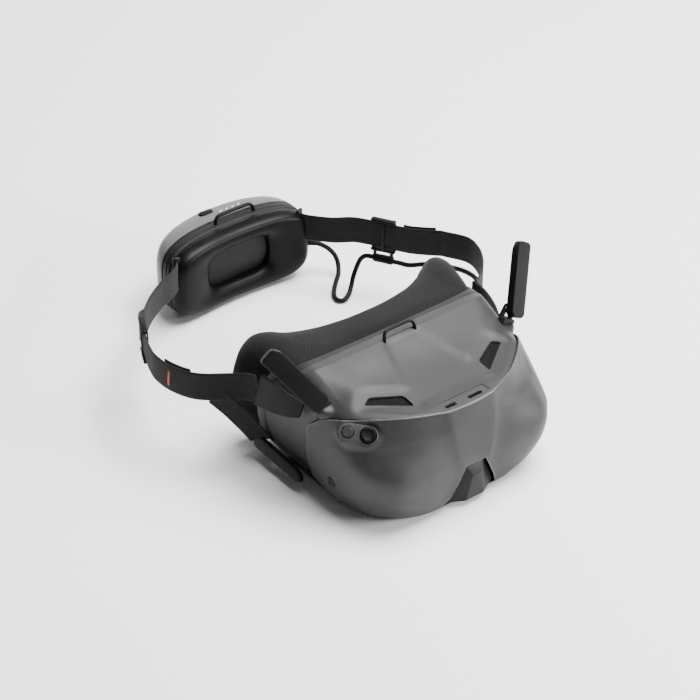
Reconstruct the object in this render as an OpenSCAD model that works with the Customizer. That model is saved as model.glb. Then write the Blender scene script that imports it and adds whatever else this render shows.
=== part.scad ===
// Video goggles worn on the head, with a battery pack at the back of an elastic headband.
// The origin lies on the flat underside, below the middle of the visor's top rim.
// +X is the wearer's left, +Y runs from the visor back past the head, and +Z is up.

/* [Shells] */
// Wall thickness of the moulded shells
shell_t = 1.8; // [1.5:0.1:2.1]
// Gap between neighbouring shells
seam = 0.4; // [0.3:0.1:0.6]

/* [Antennas] */
// Length of an antenna paddle
antenna_l = 60; // [50:1:66]
// Width of an antenna paddle
antenna_w = 16; // [14:0.5:17]
// Thickness of an antenna paddle
antenna_t = 7; // [6:0.5:7.5]
// Angle that the paddles stand up from their folded place
antenna_raise = 63; // [50:1:70]

/* [Headband] */
// Width of the elastic webbing
strap_w = 25.5; // [24:0.5:26]
// Thickness of the elastic webbing
strap_t = 1.6; // [1.2:0.1:1.8]
// Diameter of the power cable
cable_d = 4.2; // [4:0.1:4.4]

/* [Battery pack] */
// Half of the pack's width
pack_hw = 70; // [67:1:71]
// Height of the pack
pack_h = 70; // [67:1:71]

/* [Optics and cooling] */
// Radius of an eyepiece lens
lens_r = 21; // [18:0.5:22]
// Distance between the two lens centres
lens_pitch = 63; // [58:1:68]
// Radius of the fan rotor
fan_r = 13; // [11:0.5:13.5]

/* [Hidden] */
$fn = 48;
tiny = 0.01;

// ---- curves, patches and closed skins ----
function unit(v) = v / norm(v);
function sum(v, i = 0) = i < len(v) ? v[i] + sum(v, i + 1) : 0;
function flip_x(p) = [-p[0], each [for (i = [1:len(p) - 1]) p[i]]];
function whole(half) = concat([for (i = [len(half) - 1:-1:1]) flip_x(half[i])], half);
function blend(a, b, c, d, t) =
    0.5 * (2 * b + (c - a) * t + (2 * a - 5 * b + 4 * c - d) * t * t
        + (3 * b - a - 3 * c + d) * t * t * t);
function on_curve(p, s) =
    let (n = len(p) - 1, i = max(0, min(floor(s), n - 1)),
        before = i == 0 ? 2 * p[0] - p[1] : p[i - 1],
        after = i + 2 > n ? 2 * p[n] - p[n - 1] : p[i + 2])
    blend(before, p[i], p[i + 1], after, s - i);
function resample(p, n) = [for (k = [0:n]) on_curve(p, k * (len(p) - 1) / n)];
function on_loop(p, s) =
    let (n = len(p), i = floor(s))
    blend(p[(i + n - 1) % n], p[i % n], p[(i + 1) % n], p[(i + 2) % n], s - i);
function resample_loop(p, n) = [for (k = [0:n - 1]) on_loop(p, k * len(p) / n)];
function transpose(g) = [for (j = [0:len(g[0]) - 1]) [for (row = g) row[j]]];
function patch(rows, nu, nv) =
    transpose([for (c = transpose([for (r = rows) resample(r, nu)])) resample(c, nv)]);
function grid_normal(g, i, j) =
    let (m = len(g) - 1, n = len(g[0]) - 1)
    unit(cross(g[i][min(j + 1, n)] - g[i][max(j - 1, 0)],
        g[min(i + 1, m)][j] - g[max(i - 1, 0)][j]));
function offset_grid(g, t) =
    [for (i = [0:len(g) - 1]) [for (j = [0:len(g[0]) - 1]) g[i][j] + t * grid_normal(g, i, j)]];
function reversed(v) = [for (i = [len(v) - 1:-1:0]) v[i]];

// Faces of a skin over m rings of n points, closed into a loop or capped at both ends.
function skin_faces(m, n, loop) =
    concat(
        [for (i = [0:(loop ? m - 1 : m - 2)], j = [0:n - 1])
            let (k = (j + 1) % n, a = i * n, b = ((i + 1) % m) * n)
            each [[a + j, a + k, b + k], [a + j, b + k, b + j]]],
        loop ? [] : [for (j = [0:n / 2 - 2])
            each [[j + 1, j, n - 1 - j], [j + 1, n - 1 - j, n - 2 - j]]],
        loop ? [] : [for (j = [0:n / 2 - 2])
            let (a = (m - 1) * n)
            each [[a + j, a + j + 1, a + n - 1 - j], [a + n - 1 - j, a + j + 1, a + n - 2 - j]]]);
function volume_of(p, faces) =
    sum([for (f = faces) p[f[0]] * cross(p[f[1]], p[f[2]])]);
module skin(rings, loop = false) {
    points = [for (r = rings) each r];
    faces = skin_faces(len(rings), len(rings[0]), loop);
    outward = volume_of(points, faces) > 0;
    polyhedron(points, outward ? [for (f = faces) reversed(f)] : faces, convexity = 8);
}
module sheet_of(g, t) {
    far = offset_grid(g, t);
    skin([for (i = [0:len(g) - 1]) concat(g[i], reversed(far[i]))]);
}
// A band of webbing that follows a route: its width is upright, or it faces a given way.
function band_rings(route, w, t, n, facing) =
    let (p = resample(route, n))
    [for (k = [0:n])
        let (d = unit(p[min(k + 1, n)] - p[max(k - 1, 0)]),
            side = unit(facing == undef ? cross(d, [0, 0, 1]) : facing - d * (facing * d)),
            up = unit(cross(side, d)))
        [p[k] + side * t / 2 + up * w / 2, p[k] - side * t / 2 + up * w / 2,
            p[k] - side * t / 2 - up * w / 2, p[k] + side * t / 2 - up * w / 2]];
module band(route, w, t, n, facing = undef) {
    skin(band_rings(route, w, t, n, facing));
}
// A round tube along a route.
module tube(route, d, n, sides) {
    p = resample(route, n);
    skin([for (k = [0:n])
        let (t = unit(p[min(k + 1, n)] - p[max(k - 1, 0)]),
            a = unit(cross(t, abs(t[2]) > 0.9 ? [1, 0, 0] : [0, 0, 1])), b = cross(a, t))
        [for (i = [0:sides - 1]) p[k] + d / 2 * (a * cos(i * 360 / sides) + b * sin(i * 360 / sides))]]);
}
// A closed outline with soft corners in the XZ plane, bowed along Y.
function soft_box(hw, hh, cx, cz, y, bow, power, n) =
    [for (k = [0:n - 1])
        let (a = 360 * k / n, x = hw * sign(cos(a)) * pow(abs(cos(a)), 2 / power),
            z = hh * sign(sin(a)) * pow(abs(sin(a)), 2 / power))
        [cx + x, y - bow * x * x, cz + z]];
module sides() {
    children();
    mirror([1, 0, 0]) children();
}

// ---- goggles: control points of the wearer's left half, from the middle outwards ----
visor_rows = [
    [[0, -5, 91], [21, -3.5, 91], [47, 7.5, 91], [67, 22.5, 89], [80, 35, 87], [88, 46, 84], [92, 60, 77],
        [95, 73, 65]],
    [[0, -8.4, 75], [20, -8.4, 75], [47, -3, 72.5], [67, 6.4, 70], [82, 18, 67], [91.5, 33, 64], [95, 54, 58],
        [95.5, 73, 50]],
    [[0, -11, 52], [16, -11.4, 52], [46, -12, 52], [69, -9, 51], [83.5, 4, 50], [91, 21, 49], [95, 43, 45],
        [95.5, 73, 40]],
    [[0, -11, 34], [12, -11.8, 34], [44, -12.6, 32], [68, -9, 31], [83, 6, 31], [91, 24, 30], [94, 45, 28],
        [93.5, 73, 27]],
    [[0, -8, 15], [20.5, -9.6, 15], [43, -9, 14], [63, -3, 13], [78, 11, 13], [87, 29, 13], [90.5, 50, 12],
        [90, 72, 14]],
    [[0, -3, 3], [26, -4.4, 3], [41, -3, 3], [57, 3, 3], [70, 13, 3], [79, 27, 4], [83, 46, 5], [85, 69, 8]]];
housing_front = [[0, -2.4, 91], [20.8, -1, 91], [46, 9.8, 91], [65.2, 24.2, 89], [78, 36.6, 87],
    [85.4, 47.6, 84],
    [89, 61, 77], [92, 73.8, 66], [93, 74, 50], [90.5, 75, 30], [86, 72, 13]];
housing_middle = [[0, 50, 96], [21, 50, 96.5], [46, 54, 96.5], [66, 58, 97], [78, 64, 96], [86, 72, 93],
    [90, 80, 87], [91.5, 94, 74], [94, 97, 52], [92.5, 98, 32], [89, 97, 13]];
housing_back = [[0, 93, 102], [21, 93, 102], [46, 93, 102], [66, 93, 102], [79, 93.5, 101.5], [87, 96, 98],
    [92, 106, 91], [94.5, 116, 79], [96, 124, 57], [95, 126, 34], [90, 123, 14]];
housing_brow = [[0, 84.5, 103.6], [21, 84.5, 103.6], [46, 84.5, 103.6], [66, 85, 103.4], [78.6, 86, 102.6],
    [86.8, 89.5, 98.8], [91.6, 98.5, 91], [94, 110, 78], [95.6, 117, 56], [94.8, 119, 34], [90, 116.5, 14]];
// The face opening's outline goes on from the housing's back edge round the nose.
nose_outline = [[77, 112, 6], [58, 98, 4], [40, 88, 8], [26, 78, 22], [14, 72, 36], [0, 70, 40]];
opening_half = concat(housing_back, nose_outline);
// Along that outline: the frame's depth, the foam's rear face, its wall and its outward bulge.
frame_depth = [4, 4, 4.5, 5, 6, 8, 9, 10, 12, 12, 11, 10, 10, 10, 10, 10, 10];
foam_back = [130, 131, 136, 144, 152, 157, 160, 164, 168, 165, 156, 145, 134, 124, 114, 106, 102];
foam_wall = [22, 22, 22, 22, 22, 22, 22, 22, 22, 22, 20, 16, 13, 11, 10, 10, 10];
foam_bulge = [1, 1, 1, 2, 4, 6, 7, 7, 7, 6, 4, 2, 1, 0, 0, 0, 0];
function loop_values(v) = concat(v, [for (i = [len(v) - 2:-1:1]) v[i]]);
function loop_of(half) = concat(half, [for (i = [len(half) - 2:-1:1]) flip_x(half[i])]);
opening_loop = loop_of(opening_half);
ring_n = 64;
opening_ring = resample_loop(opening_loop, ring_n);
ring_depth = resample_loop(loop_values(frame_depth), ring_n);
ring_foam = resample_loop(loop_values(foam_back), ring_n);
ring_wall = resample_loop(loop_values(foam_wall), ring_n);
ring_bulge = resample_loop(loop_values(foam_bulge), ring_n);
function ring_in(k) =
    let (d = opening_ring[(k + 1) % ring_n] - opening_ring[(k + ring_n - 1) % ring_n])
    unit([d[2], 0, -d[0]]);

module visor_notch(grow) {
    translate([0, 30, 0]) rotate([90, 0, 0]) linear_extrude(60)
        polygon([[-26 - grow, 4.5 - grow], [-9.7 - grow, 39.5 + grow], [9.7 + grow, 39.5 + grow],
            [26 + grow, 4.5 - grow]]);
}
module at_joystick() {
    translate(joystick_at) rotate([0, 0, joystick_yaw]) rotate([joystick_tilt, 0, 0]) children();
}
module at_back_button() {
    translate(back_button_at) rotate([0, 0, back_button_yaw]) rotate([joystick_tilt, 0, 0]) children();
}
module at_link_button() {
    translate(link_button_at) rotate([0, 0, link_button_yaw]) rotate([90, 0, 0]) children();
}
joystick_at = [-76.5, 22, 80.5];
joystick_yaw = -38;
joystick_tilt = 38;
joystick_r = 5.6;
back_button_at = [-86.5, 34, 80.2];
back_button_yaw = -46;
back_button_r = 4.6;
link_button_at = [-94.4, 44, 30];
link_button_yaw = -84;
link_button_r = 4.2;
button_gap = 0.3;

module front_visor() color([0.36, 0.365, 0.37]) difference() {
    sheet_of(patch([for (r = visor_rows) whole(r)], 44, 14), shell_t);
    visor_notch(0);
    at_joystick() translate([0, 0, -8]) cylinder(r = joystick_r + 1, h = 20);
    at_back_button() translate([0, 0, -8]) cylinder(r = back_button_r + button_gap, h = 20);
    at_link_button() translate([0, 0, -8]) cylinder(r = link_button_r + button_gap, h = 20);
}
insert_outer = [[-9.3, -8.6, 39], [9.3, -8.6, 39], [25.4, -2, 4.9], [-25.4, -2, 4.9]];
insert_ridge = [[-4.6, -14.5, 30], [4.6, -14.5, 30], [8.5, -12, 5], [-8.5, -12, 5]];
insert_depth = 3;
module nose_insert() color([0.2, 0.2, 0.205])
    skin([[for (p = insert_outer) p + [0, insert_depth, 0]], insert_outer, insert_ridge]);

module vent_shape() {
    polygon([[36, 18.5], [66, 41], [59, 45], [36, 32]]);
}
vent_slope = 6;
vent_z = 89.2;
module at_vent() {
    translate([0, 0, vent_z]) rotate([vent_slope, 0, 0]) children();
}
usb_at = [-14.4, 3, 91.3];
card_at = [8.3, 2.6, 91.3];
module port_hole(w, h) {
    linear_extrude(12, center = true) offset(r = h / 2 - tiny) square([w - h, tiny], center = true);
}
housing_rows = [housing_front, housing_middle, housing_brow, housing_back];
module main_housing() color([0.38, 0.385, 0.39]) difference() {
    sheet_of(patch([for (r = housing_rows) whole(r)], 40, 12), -shell_t);
    sides() translate([0, 0, 70]) linear_extrude(40) vent_shape();
    translate(usb_at) port_hole(10, 4);
    translate(card_at) port_hole(13, 3);
    translate([80, 104, 46]) rotate([0, 90, 0]) cylinder(r = 3.3, h = 30);
}
base_outline = [[0, -0.6], [24, -1.4], [39, 0.4], [55, 6], [67, 16], [75.5, 29], [79.5, 47], [80.5, 72],
    [80.5, 92], [75, 108], [57, 95], [38, 84], [24, 72], [12, 66], [0, 64]];
base_t = 2.4;
skirt_rows = [
    [[78, 46, 2], [79, 62, 2], [79, 80, 2], [79, 94, 2], [74, 107, 2]],
    [[82, 47, 3.4], [84, 66, 6], [86.5, 90, 9], [87, 106, 9.5], [84, 118, 10]]];
nose_wall_rows = [
    [[0, 65, 1.8], [13, 67, 1.8], [25, 73, 1.8], [39, 85, 1.8], [56, 95, 1.8]],
    [[0, 69, 39], [13.6, 71, 35], [26, 77, 21], [40, 87.4, 7.6], [57, 97.6, 3.4]]];
module bottom_shell() color([0.2, 0.2, 0.205]) {
    difference() {
        linear_extrude(base_t) polygon(loop_of(base_outline));
        for (p = screw_spots) translate([p[0], p[1], -1]) {
            cylinder(r = screw_d + 0.2, h = 1 + 0.3 + head_h);
            cylinder(r = screw_d / 2 + 0.2, h = 6);
        }
    }
    sides() sheet_of(patch(skirt_rows, 8, 2), 2);
    sheet_of(patch([for (r = nose_wall_rows) whole(r)], 24, 2), 1.8);
}
// Corners of the frame's section: how far in from the outline and how far along the depth.
module rear_frame() color([0.3, 0.3, 0.31])
    skin([for (c = [[0, 0], [0, 1], [7, 1], [7, 0]])
        [for (k = [0:ring_n - 1])
            opening_ring[k] + [0, seam + c[1] * ring_depth[k], 0] + ring_in(k) * c[0]]], loop = true);
// The foam's section: share of the wall's thickness inwards, of the depth, and of the bulge.
foam_section = [[0.06, 0, 0], [0, 0.3, 0.5], [0, 0.62, 1], [0.06, 0.88, 0.9], [0.35, 1, 0.6],
    [0.7, 0.96, 0.3], [0.98, 0.76, 0.1], [1, 0.4, 0], [0.9, 0, 0]];
module face_foam() color([0.17, 0.17, 0.175])
    skin([for (c = foam_section)
        [for (k = [0:ring_n - 1])
            let (y0 = opening_ring[k][1] + ring_depth[k] + seam + 0.3)
            [opening_ring[k][0], y0 + c[1] * (ring_foam[k] - y0), opening_ring[k][2]]
                + ring_in(k) * (c[0] * ring_wall[k] - c[2] * ring_bulge[k])]], loop = true);

module vent_mesh() color([0.1, 0.1, 0.1]) at_vent() linear_extrude(1)
    offset(r = 1.2) vent_shape();
module left_vent_mesh() vent_mesh();
module right_vent_mesh() mirror([1, 0, 0]) vent_mesh();
module usb_port() color([0.5, 0.5, 0.52]) translate(usb_at + [0, 0, -6.4]) difference() {
    linear_extrude(6) offset(r = 1.6) square([6, 0.4], center = true);
    translate([0, 0, 2]) linear_extrude(6) offset(r = 1.1) square([6, 0.4], center = true);
}
module card_slot() color([0.25, 0.25, 0.26]) translate(card_at + [0, 0, -6.6]) difference() {
    translate([-5.6, -1.2, 0]) cube([11.2, 2.4, 6]);
    translate([-5, -0.6, 1.5]) cube([10, 1.2, 6]);
}
loop_half = [[0, 85.6, 110], [9, 85.5, 109.9], [12.5, 85, 109.1], [14.2, 83.8, 106.4], [14.8, 82.4, 101.4]];
module front_strap_loop() color([0.12, 0.12, 0.12]) tube(whole(loop_half), 3, 24, 8);

// ---- controls on the wearer's right side of the visor ----
module control_panel() color([0.45, 0.455, 0.46]) at_joystick() {
    difference() {
        translate([0, 0, -7.4]) cylinder(r = joystick_r + 0.8, h = 1.6);
        translate([0, 0, -8]) cylinder(r = 3.4, h = 3);
    }
}
gimbal_z = -4;
stem_r = 1.6;
module joystick_gimbal() color([0.3, 0.3, 0.3]) at_joystick() difference() {
    translate([0, 0, gimbal_z]) cylinder(r = 5, h = 1.4, center = true);
    translate([0, 0, gimbal_z]) cylinder(r = 3.2, h = 3, center = true);
}
module joystick_stem() color([0.3, 0.3, 0.3]) at_joystick()
    translate([0, 0, gimbal_z - 0.8]) cylinder(r = stem_r, h = 4.4);
module joystick_cap() color([0.16, 0.16, 0.16]) at_joystick() difference() {
    union() {
        translate([0, 0, -0.6]) cylinder(r = joystick_r, h = 2.4);
        translate([0, 0, 1.8]) cylinder(r1 = joystick_r - 0.4, r2 = joystick_r - 1.6, h = 0.8);
    }
    for (a = [0:90:270]) rotate([0, 0, a + 45]) translate([joystick_r, 0, 0])
        cylinder(r = 1, h = 6);
    translate([0, 0, -1]) cylinder(r = stem_r + 0.06, h = 1.6);
}
module back_button() color([0.42, 0.42, 0.425]) at_back_button()
    translate([0, 0, -4]) cylinder(r = back_button_r, h = 5.2);
module link_button() color([0.34, 0.34, 0.345]) at_link_button()
    translate([0, 0, -4]) cylinder(r = link_button_r, h = 4.4);

// ---- antennas: each turns about a pin that slopes down and outwards ----
hinge_at = [95, 63.2, 97.4];
hinge_slope = 33.7;
hinge_yaw = 1.8;
knuckle_r = 3.4;
pin_r = 1.2;
paddle_offset = 4;
paddle_drop = 7;
ear_x = 5.3;
ear_t = 2.8;
module at_hinge() {
    translate(hinge_at) rotate([0, hinge_slope, hinge_yaw]) children();
}
module antenna() color([0.2, 0.2, 0.205]) at_hinge() rotate([antenna_raise, 0, 0]) {
    difference() {
        union() {
            translate([0, 0, paddle_offset - antenna_t / 2]) linear_extrude(antenna_t)
                difference() {
                    translate([-antenna_w / 2, -paddle_drop]) square([antenna_w, antenna_l]);
                    for (s = [-1, 1]) translate([s * antenna_w / 2, -paddle_drop]) rotate(45)
                        square(4, center = true);
                    translate([-antenna_w / 2, antenna_l - paddle_drop]) rotate(20)
                        square([2.6, 14], center = true);
                }
            rotate([0, 90, 0]) cylinder(r = knuckle_r, h = 7, center = true);
        }
        rotate([0, 90, 0]) cylinder(r = pin_r + 0.05, h = 20, center = true);
        for (s = [-1, 1]) translate([s * ear_x, 0, 0]) rotate([0, 90, 0])
            cylinder(r = knuckle_r + 0.4, h = ear_t + 0.6, center = true);
    }
}
module antenna_bracket() color([0.13, 0.13, 0.13]) at_hinge() difference() {
    union() {
        for (s = [-1, 1]) translate([s * ear_x, 0, 0]) {
            rotate([0, 90, 0]) cylinder(r = knuckle_r, h = ear_t, center = true);
            translate([-ear_t / 2, 0, -8]) cube([ear_t, knuckle_r, 8]);
        }
        translate([-ear_x - ear_t / 2, -4, -15]) cube([2 * ear_x + ear_t, 4 + knuckle_r, 7.6]);
    }
    rotate([0, 90, 0]) cylinder(r = pin_r, h = 20, center = true);
}
module antenna_pin() color([0.6, 0.6, 0.62]) at_hinge()
    rotate([0, 90, 0]) cylinder(r = pin_r, h = 13.6, center = true);
module left_antenna() antenna();
module right_antenna() mirror([1, 0, 0]) antenna();
module left_antenna_bracket() antenna_bracket();
module right_antenna_bracket() mirror([1, 0, 0]) antenna_bracket();
module left_antenna_pin() antenna_pin();
module right_antenna_pin() mirror([1, 0, 0]) antenna_pin();

// ---- arms that hold the headband ----
upper_arm_rows = [
    [[95.2, 77, 84], [99.6, 88, 87], [103, 103, 89.5], [104.5, 119, 90]],
    [[98.2, 80, 70], [102.5, 91, 66.5], [106, 107, 63], [108, 124, 60]]];
arm_t = 3;
module upper_arm() color([0.14, 0.14, 0.145]) sheet_of(patch(upper_arm_rows, 9, 4), arm_t);
module left_upper_arm() upper_arm();
module right_upper_arm() mirror([1, 0, 0]) upper_arm();
arm_x = 97.3;
arm_z = 14;
arm_lean = 22;
lower_arm_outline = [[76, 11], [79, 8.6], [84, 8.2], [131, 11.5], [137, 17], [138.5, 22], [134, 22.5],
    [84, 17.5], [78, 15]];
module lower_arm() color([0.26, 0.26, 0.265])
    translate([arm_x, 76, arm_z]) rotate([0, 0, -4]) rotate([0, -arm_lean, 0])
        translate([-arm_t / 2 - 0.8, -76, -arm_z])
            rotate([90, 0, 90]) linear_extrude(arm_t + 1.6) polygon(lower_arm_outline);
module left_lower_arm() lower_arm();
module right_lower_arm() mirror([1, 0, 0]) lower_arm();

// ---- optics, electronics and cooling inside the goggles ----
carriage_y = 84;
lens_z = 62;
board_y = 22;
board_t = 1.6;
mask_outline = [[0, 99], [64, 99], [78, 97], [84.5, 91], [86.5, 76], [87, 54], [86.5, 30], [82, 14], [66, 8],
    [50, 10], [40, 20], [29, 33], [23, 43], [19, 53], [0, 54.5]];
module lens_carriage() color([0.1, 0.1, 0.1]) difference() {
    union() {
        translate([0, carriage_y + 3, 0]) rotate([90, 0, 0]) linear_extrude(3)
            polygon(loop_of(mask_outline));
        for (s = [-1, 1]) translate([s * lens_pitch / 2, carriage_y + tiny, lens_z]) rotate([90, 0, 0])
            cylinder(r = lens_r + 1.6, h = 14);
        for (x = [-60, 57.5]) translate([x, board_y + board_t, 44]) cube([2.5, carriage_y - board_y, 34]);
        for (p = screw_spots) translate([p[0] - 4, p[1] - 4, base_t]) cube([8, 8, 44 - base_t + 2]);
    }
    translate([-20, carriage_y - 2, 40]) cube([40, 6, 12.6]);
    for (p = screw_spots) translate([p[0], p[1], 0]) cylinder(r = screw_d / 2, h = 12);
    for (s = [-1, 1]) translate([s * lens_pitch / 2, carriage_y + 5, lens_z]) rotate([90, 0, 0])
        cylinder(r = lens_r - 1, h = 30);
    for (s = [-1, 1]) translate([s * lens_pitch / 2, carriage_y - 8, lens_z]) rotate([90, 0, 0])
        cylinder(r = lens_r + 0.05, h = 30);
}
module lens(s) color([0.7, 0.75, 0.8]) translate([s * lens_pitch / 2, carriage_y - 8, lens_z])
    rotate([90, 0, 0]) {
        cylinder(r = lens_r, h = 3);
        translate([0, 0, 3]) cylinder(r1 = lens_r - 1, r2 = lens_r - 8, h = 2.4);
    }
module left_lens() lens(1);
module right_lens() lens(-1);
module display_panel() color([0.05, 0.05, 0.06]) translate([-57.5, 33, 44]) cube([115, 3, 34]);
module main_board() color([0.1, 0.3, 0.15]) translate([-62, board_y, 24]) cube([124, board_t, 52]);
module heat_sink() color([0.62, 0.63, 0.65]) {
    translate([8, board_y - 3.4, 28]) cube([42, 3.4, 30]);
    for (i = [0:6]) translate([9 + i * 6.4, board_y - 11.4, 28]) cube([1.4, 8 + tiny, 30]);
}
fan_at = [-30, board_y - 10.5, 44];
module fan_housing() color([0.12, 0.12, 0.12]) translate(fan_at) rotate([-90, 0, 0]) difference() {
    translate([-16.5, -16.5, 0]) cube([33, 33, 10.5]);
    translate([0, 0, 1.6]) cylinder(r = fan_r + 1.4, h = 12);
    translate([0, 0, -1]) cylinder(r = fan_r - 2, h = 12);
}
module fan_rotor() color([0.2, 0.2, 0.22]) translate(fan_at) rotate([-90, 0, 0]) {
    translate([0, 0, 2.4]) cylinder(r = 5.5, h = 6.4);
    for (a = [0:45:315]) rotate([0, 0, a]) translate([5, -0.7, 2.6]) cube([fan_r - 5.4, 1.4, 6]);
}
screw_spots = [[63, 48], [-63, 48], [63, 81], [-63, 81]];
screw_d = 2.5;
head_h = 1.4;
module screw(l) {
    cylinder(d = screw_d * 1.9, h = head_h);
    translate([0, 0, head_h - tiny]) cylinder(d = screw_d, h = l);
}
module housing_screws() color([0.5, 0.5, 0.5])
    for (p = screw_spots) translate([p[0], p[1], 0.3]) screw(8);

// ---- headband: routes of the webbing's middle line ----
left_buckle_at = [115, 251.5, 58];
left_buckle_yaw = -58.6;
right_buckle_at = [-129, 246, 59];
right_buckle_yaw = 66.2;
function along(at, yaw, d, dz = 0) = at + [cos(yaw) * d, sin(yaw) * d, dz];
left_upper_route = [[106, 120, 75.3], [114, 125, 74], [124, 133, 72], [136, 147, 70.4], [146, 164, 68],
    [151, 184, 65], [143, 208, 61.8]];
left_rear_route = [[143, 208, 61.8], along(left_buckle_at, left_buckle_yaw, 28, 0.6),
    along(left_buckle_at, left_buckle_yaw, 14), left_buckle_at,
    along(left_buckle_at, left_buckle_yaw, -14), along(left_buckle_at, left_buckle_yaw, -28, -1),
    [90, 288, 54], [80, 303, 52], [75.5, 312, 51], [72, 322, 50.5]];
right_upper_route = [[-105.4, 122, 75.3], [-110, 132, 73.4], [-119, 142, 71.6], [-131, 154, 69.4],
    [-139, 167, 67.4], [-144, 186, 65.4], [-144, 205, 63.4], [-139.5, 221, 61],
    along(right_buckle_at, right_buckle_yaw, -14, 0.2), right_buckle_at,
    along(right_buckle_at, right_buckle_yaw, 12), along(right_buckle_at, right_buckle_yaw, 20, -0.5),
    [-112, 271, 55.6], [-98, 284, 54.4], [-80, 297, 53], [-64, 305, 52], [-53.5, 313, 51], [-47, 323, 50]];
left_lower_route = [[100, 130, 18.5], [104.5, 131.5, 26], [111.5, 134, 36.5],
    [120, 138, 48.5], [130.1, 142, 60]];
right_lower_route = [[-99, 130, 18.5], [-103, 131.5, 26], [-109, 135, 36.5], [-116.5, 141.8, 48.5],
    [-125, 149.5, 60]];
module left_upper_strap() color([0.1, 0.1, 0.1]) band(left_upper_route, strap_w, strap_t, 20);
module left_rear_strap() color([0.1, 0.1, 0.1]) band(left_rear_route, strap_w, strap_t, 24);
module right_upper_strap() color([0.1, 0.1, 0.1]) band(right_upper_route, strap_w, strap_t, 45);
module left_lower_strap() color([0.1, 0.1, 0.1])
    band(left_lower_route, strap_w * 0.8, strap_t, 12, [0.85, -0.5, 0]);
module right_lower_strap() color([0.1, 0.1, 0.1])
    band(right_lower_route, strap_w * 0.8, strap_t, 12, [-0.85, -0.5, 0]);
module strap_tag() color([0.8, 0.36, 0.22]) translate([-144.7, 186, 65.4]) rotate([0, 0, 93])
    translate([-1, -0.1, -strap_w / 2]) cube([2, 0.5, strap_w]);

// A buckle's frame: end bars behind the webbing and a middle bar in front of it.
buckle_l = 22;
buckle_bar = 3;
webbing_gap = 0.5;
rail_z = strap_w / 2 + 0.6;
bar_y = strap_t / 2 + webbing_gap;
bar_t = 2;
module buckle_frame() {
    for (s = [-1, 1]) {
        translate([-buckle_l / 2, -bar_y - bar_t, s > 0 ? rail_z : -rail_z - buckle_bar])
            cube([buckle_l, 2 * (bar_y + bar_t), buckle_bar]);
        translate([s > 0 ? buckle_l / 2 - buckle_bar : -buckle_l / 2, bar_y, -rail_z - buckle_bar])
            cube([buckle_bar, bar_t, 2 * (rail_z + buckle_bar)]);
    }
    translate([-buckle_bar / 2, -bar_y - bar_t, -rail_z - 1]) cube([buckle_bar, bar_t, 2 * rail_z + 2]);
}
clip_z = -24.5;
clip_l = 20;
clip_r = cable_d / 2 + 0.7;
module left_buckle() color([0.08, 0.08, 0.08])
    translate(left_buckle_at) rotate([0, 0, left_buckle_yaw]) difference() {
        union() {
            buckle_frame();
            for (s = [-1, 1]) translate([s * 8 - 1.5, -1.5, clip_z]) cube([3, 3, -clip_z - rail_z]);
            translate([-clip_l / 2, 0, clip_z]) rotate([0, 90, 0]) cylinder(r = clip_r + 1.2, h = clip_l);
        }
        translate([-clip_l, 0, clip_z]) rotate([0, 90, 0]) cylinder(r = clip_r, h = 2 * clip_l);
    }
module right_buckle() color([0.08, 0.08, 0.08])
    translate(right_buckle_at) rotate([0, 0, right_buckle_yaw]) rotate([0, 0, 180]) buckle_frame();

// ---- battery pack ----
pack_x = 13;
pack_z = 36;
pack_bow = 0.0018;
outline_n = 48;
outline_power = 4.2;
back_bow = 0.0036;
function pack_ring(y, inset, bow = pack_bow) =
    soft_box(pack_hw - inset, pack_h / 2 - inset * 0.75, pack_x, pack_z, y, bow, outline_power, outline_n);
seam_y = 342;
module pack_solid(t) {
    skin([pack_ring(seam_y - t, 0.5 + t), pack_ring(350, 0.5 + t, 0.5 * (pack_bow + back_bow)),
        pack_ring(359 - 0.3 * t, 2 + t, back_bow), pack_ring(364 - 0.7 * t, 6.5 + t, back_bow),
        pack_ring(366.5 - t, 15 + t, back_bow)]);
}
module pack_rear_case() color([0.56, 0.565, 0.57]) difference() {
    pack_solid(0);
    pack_solid(2);
    translate(power_button_at + [0, 0, -6]) linear_extrude(20) power_button_shape(button_gap);
    for (x = led_spots) translate([x, led_y, pack_z + pack_h / 2 - 8]) cylinder(r = 1, h = 12);
}
module pack_frame() color([0.16, 0.16, 0.165]) difference() {
    skin([pack_ring(329.5, 2.5), pack_ring(331, 0.5), pack_ring(340, 0), pack_ring(seam_y - 0.3, 1)]);
    skin([pack_ring(331.6, 4), pack_ring(340, 3), pack_ring(seam_y + 2, 3)]);
}
opening_hw = 30;
opening_hh = 18;
function cushion_ring(share, y) =
    soft_box(pack_hw - 1.5 + (opening_hw - pack_hw + 1.5) * share,
        pack_h / 2 - 1 + (opening_hh - pack_h / 2 + 1) * share, pack_x, pack_z, y, pack_bow, outline_power,
        outline_n);
cushion_section = [[0, 329.2], [-0.01, 325], [0.06, 319], [0.2, 315.5], [0.5, 314.4], [0.8, 316],
    [0.96, 319.5], [1, 324], [1, 329.2]];
module head_cushion() color([0.13, 0.13, 0.135])
    skin([for (c = cushion_section) cushion_ring(c[0], c[1])], loop = true);
module pack_label_plate() color([0.18, 0.18, 0.185])
    skin([for (y = [327.8, 329.2]) soft_box(28, 15, pack_x, pack_z, y, pack_bow, 6, 32)]);
cell_r = 9;
module battery_cells() color([0.2, 0.35, 0.6])
    for (z = [-1, 1]) translate([pack_x - 46, 347, pack_z + z * 9.6]) rotate([0, 90, 0])
        cylinder(r = cell_r, h = 66);
module battery_board() color([0.1, 0.3, 0.15]) translate([pack_x + 22, 339.5, pack_z - 20])
    cube([30, 1.6, 42]);
power_button_at = [4, 355, pack_z + pack_h / 2 - 4];
module power_button_shape(grow) {
    offset(r = 2.4 + grow) square([8, 0.6], center = true);
}
module power_button() color([0.1, 0.1, 0.1]) translate(power_button_at + [0, 0, -1])
    linear_extrude(5.6) power_button_shape(0);
led_y = 353;
led_spots = [16, 22, 28, 34];
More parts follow.
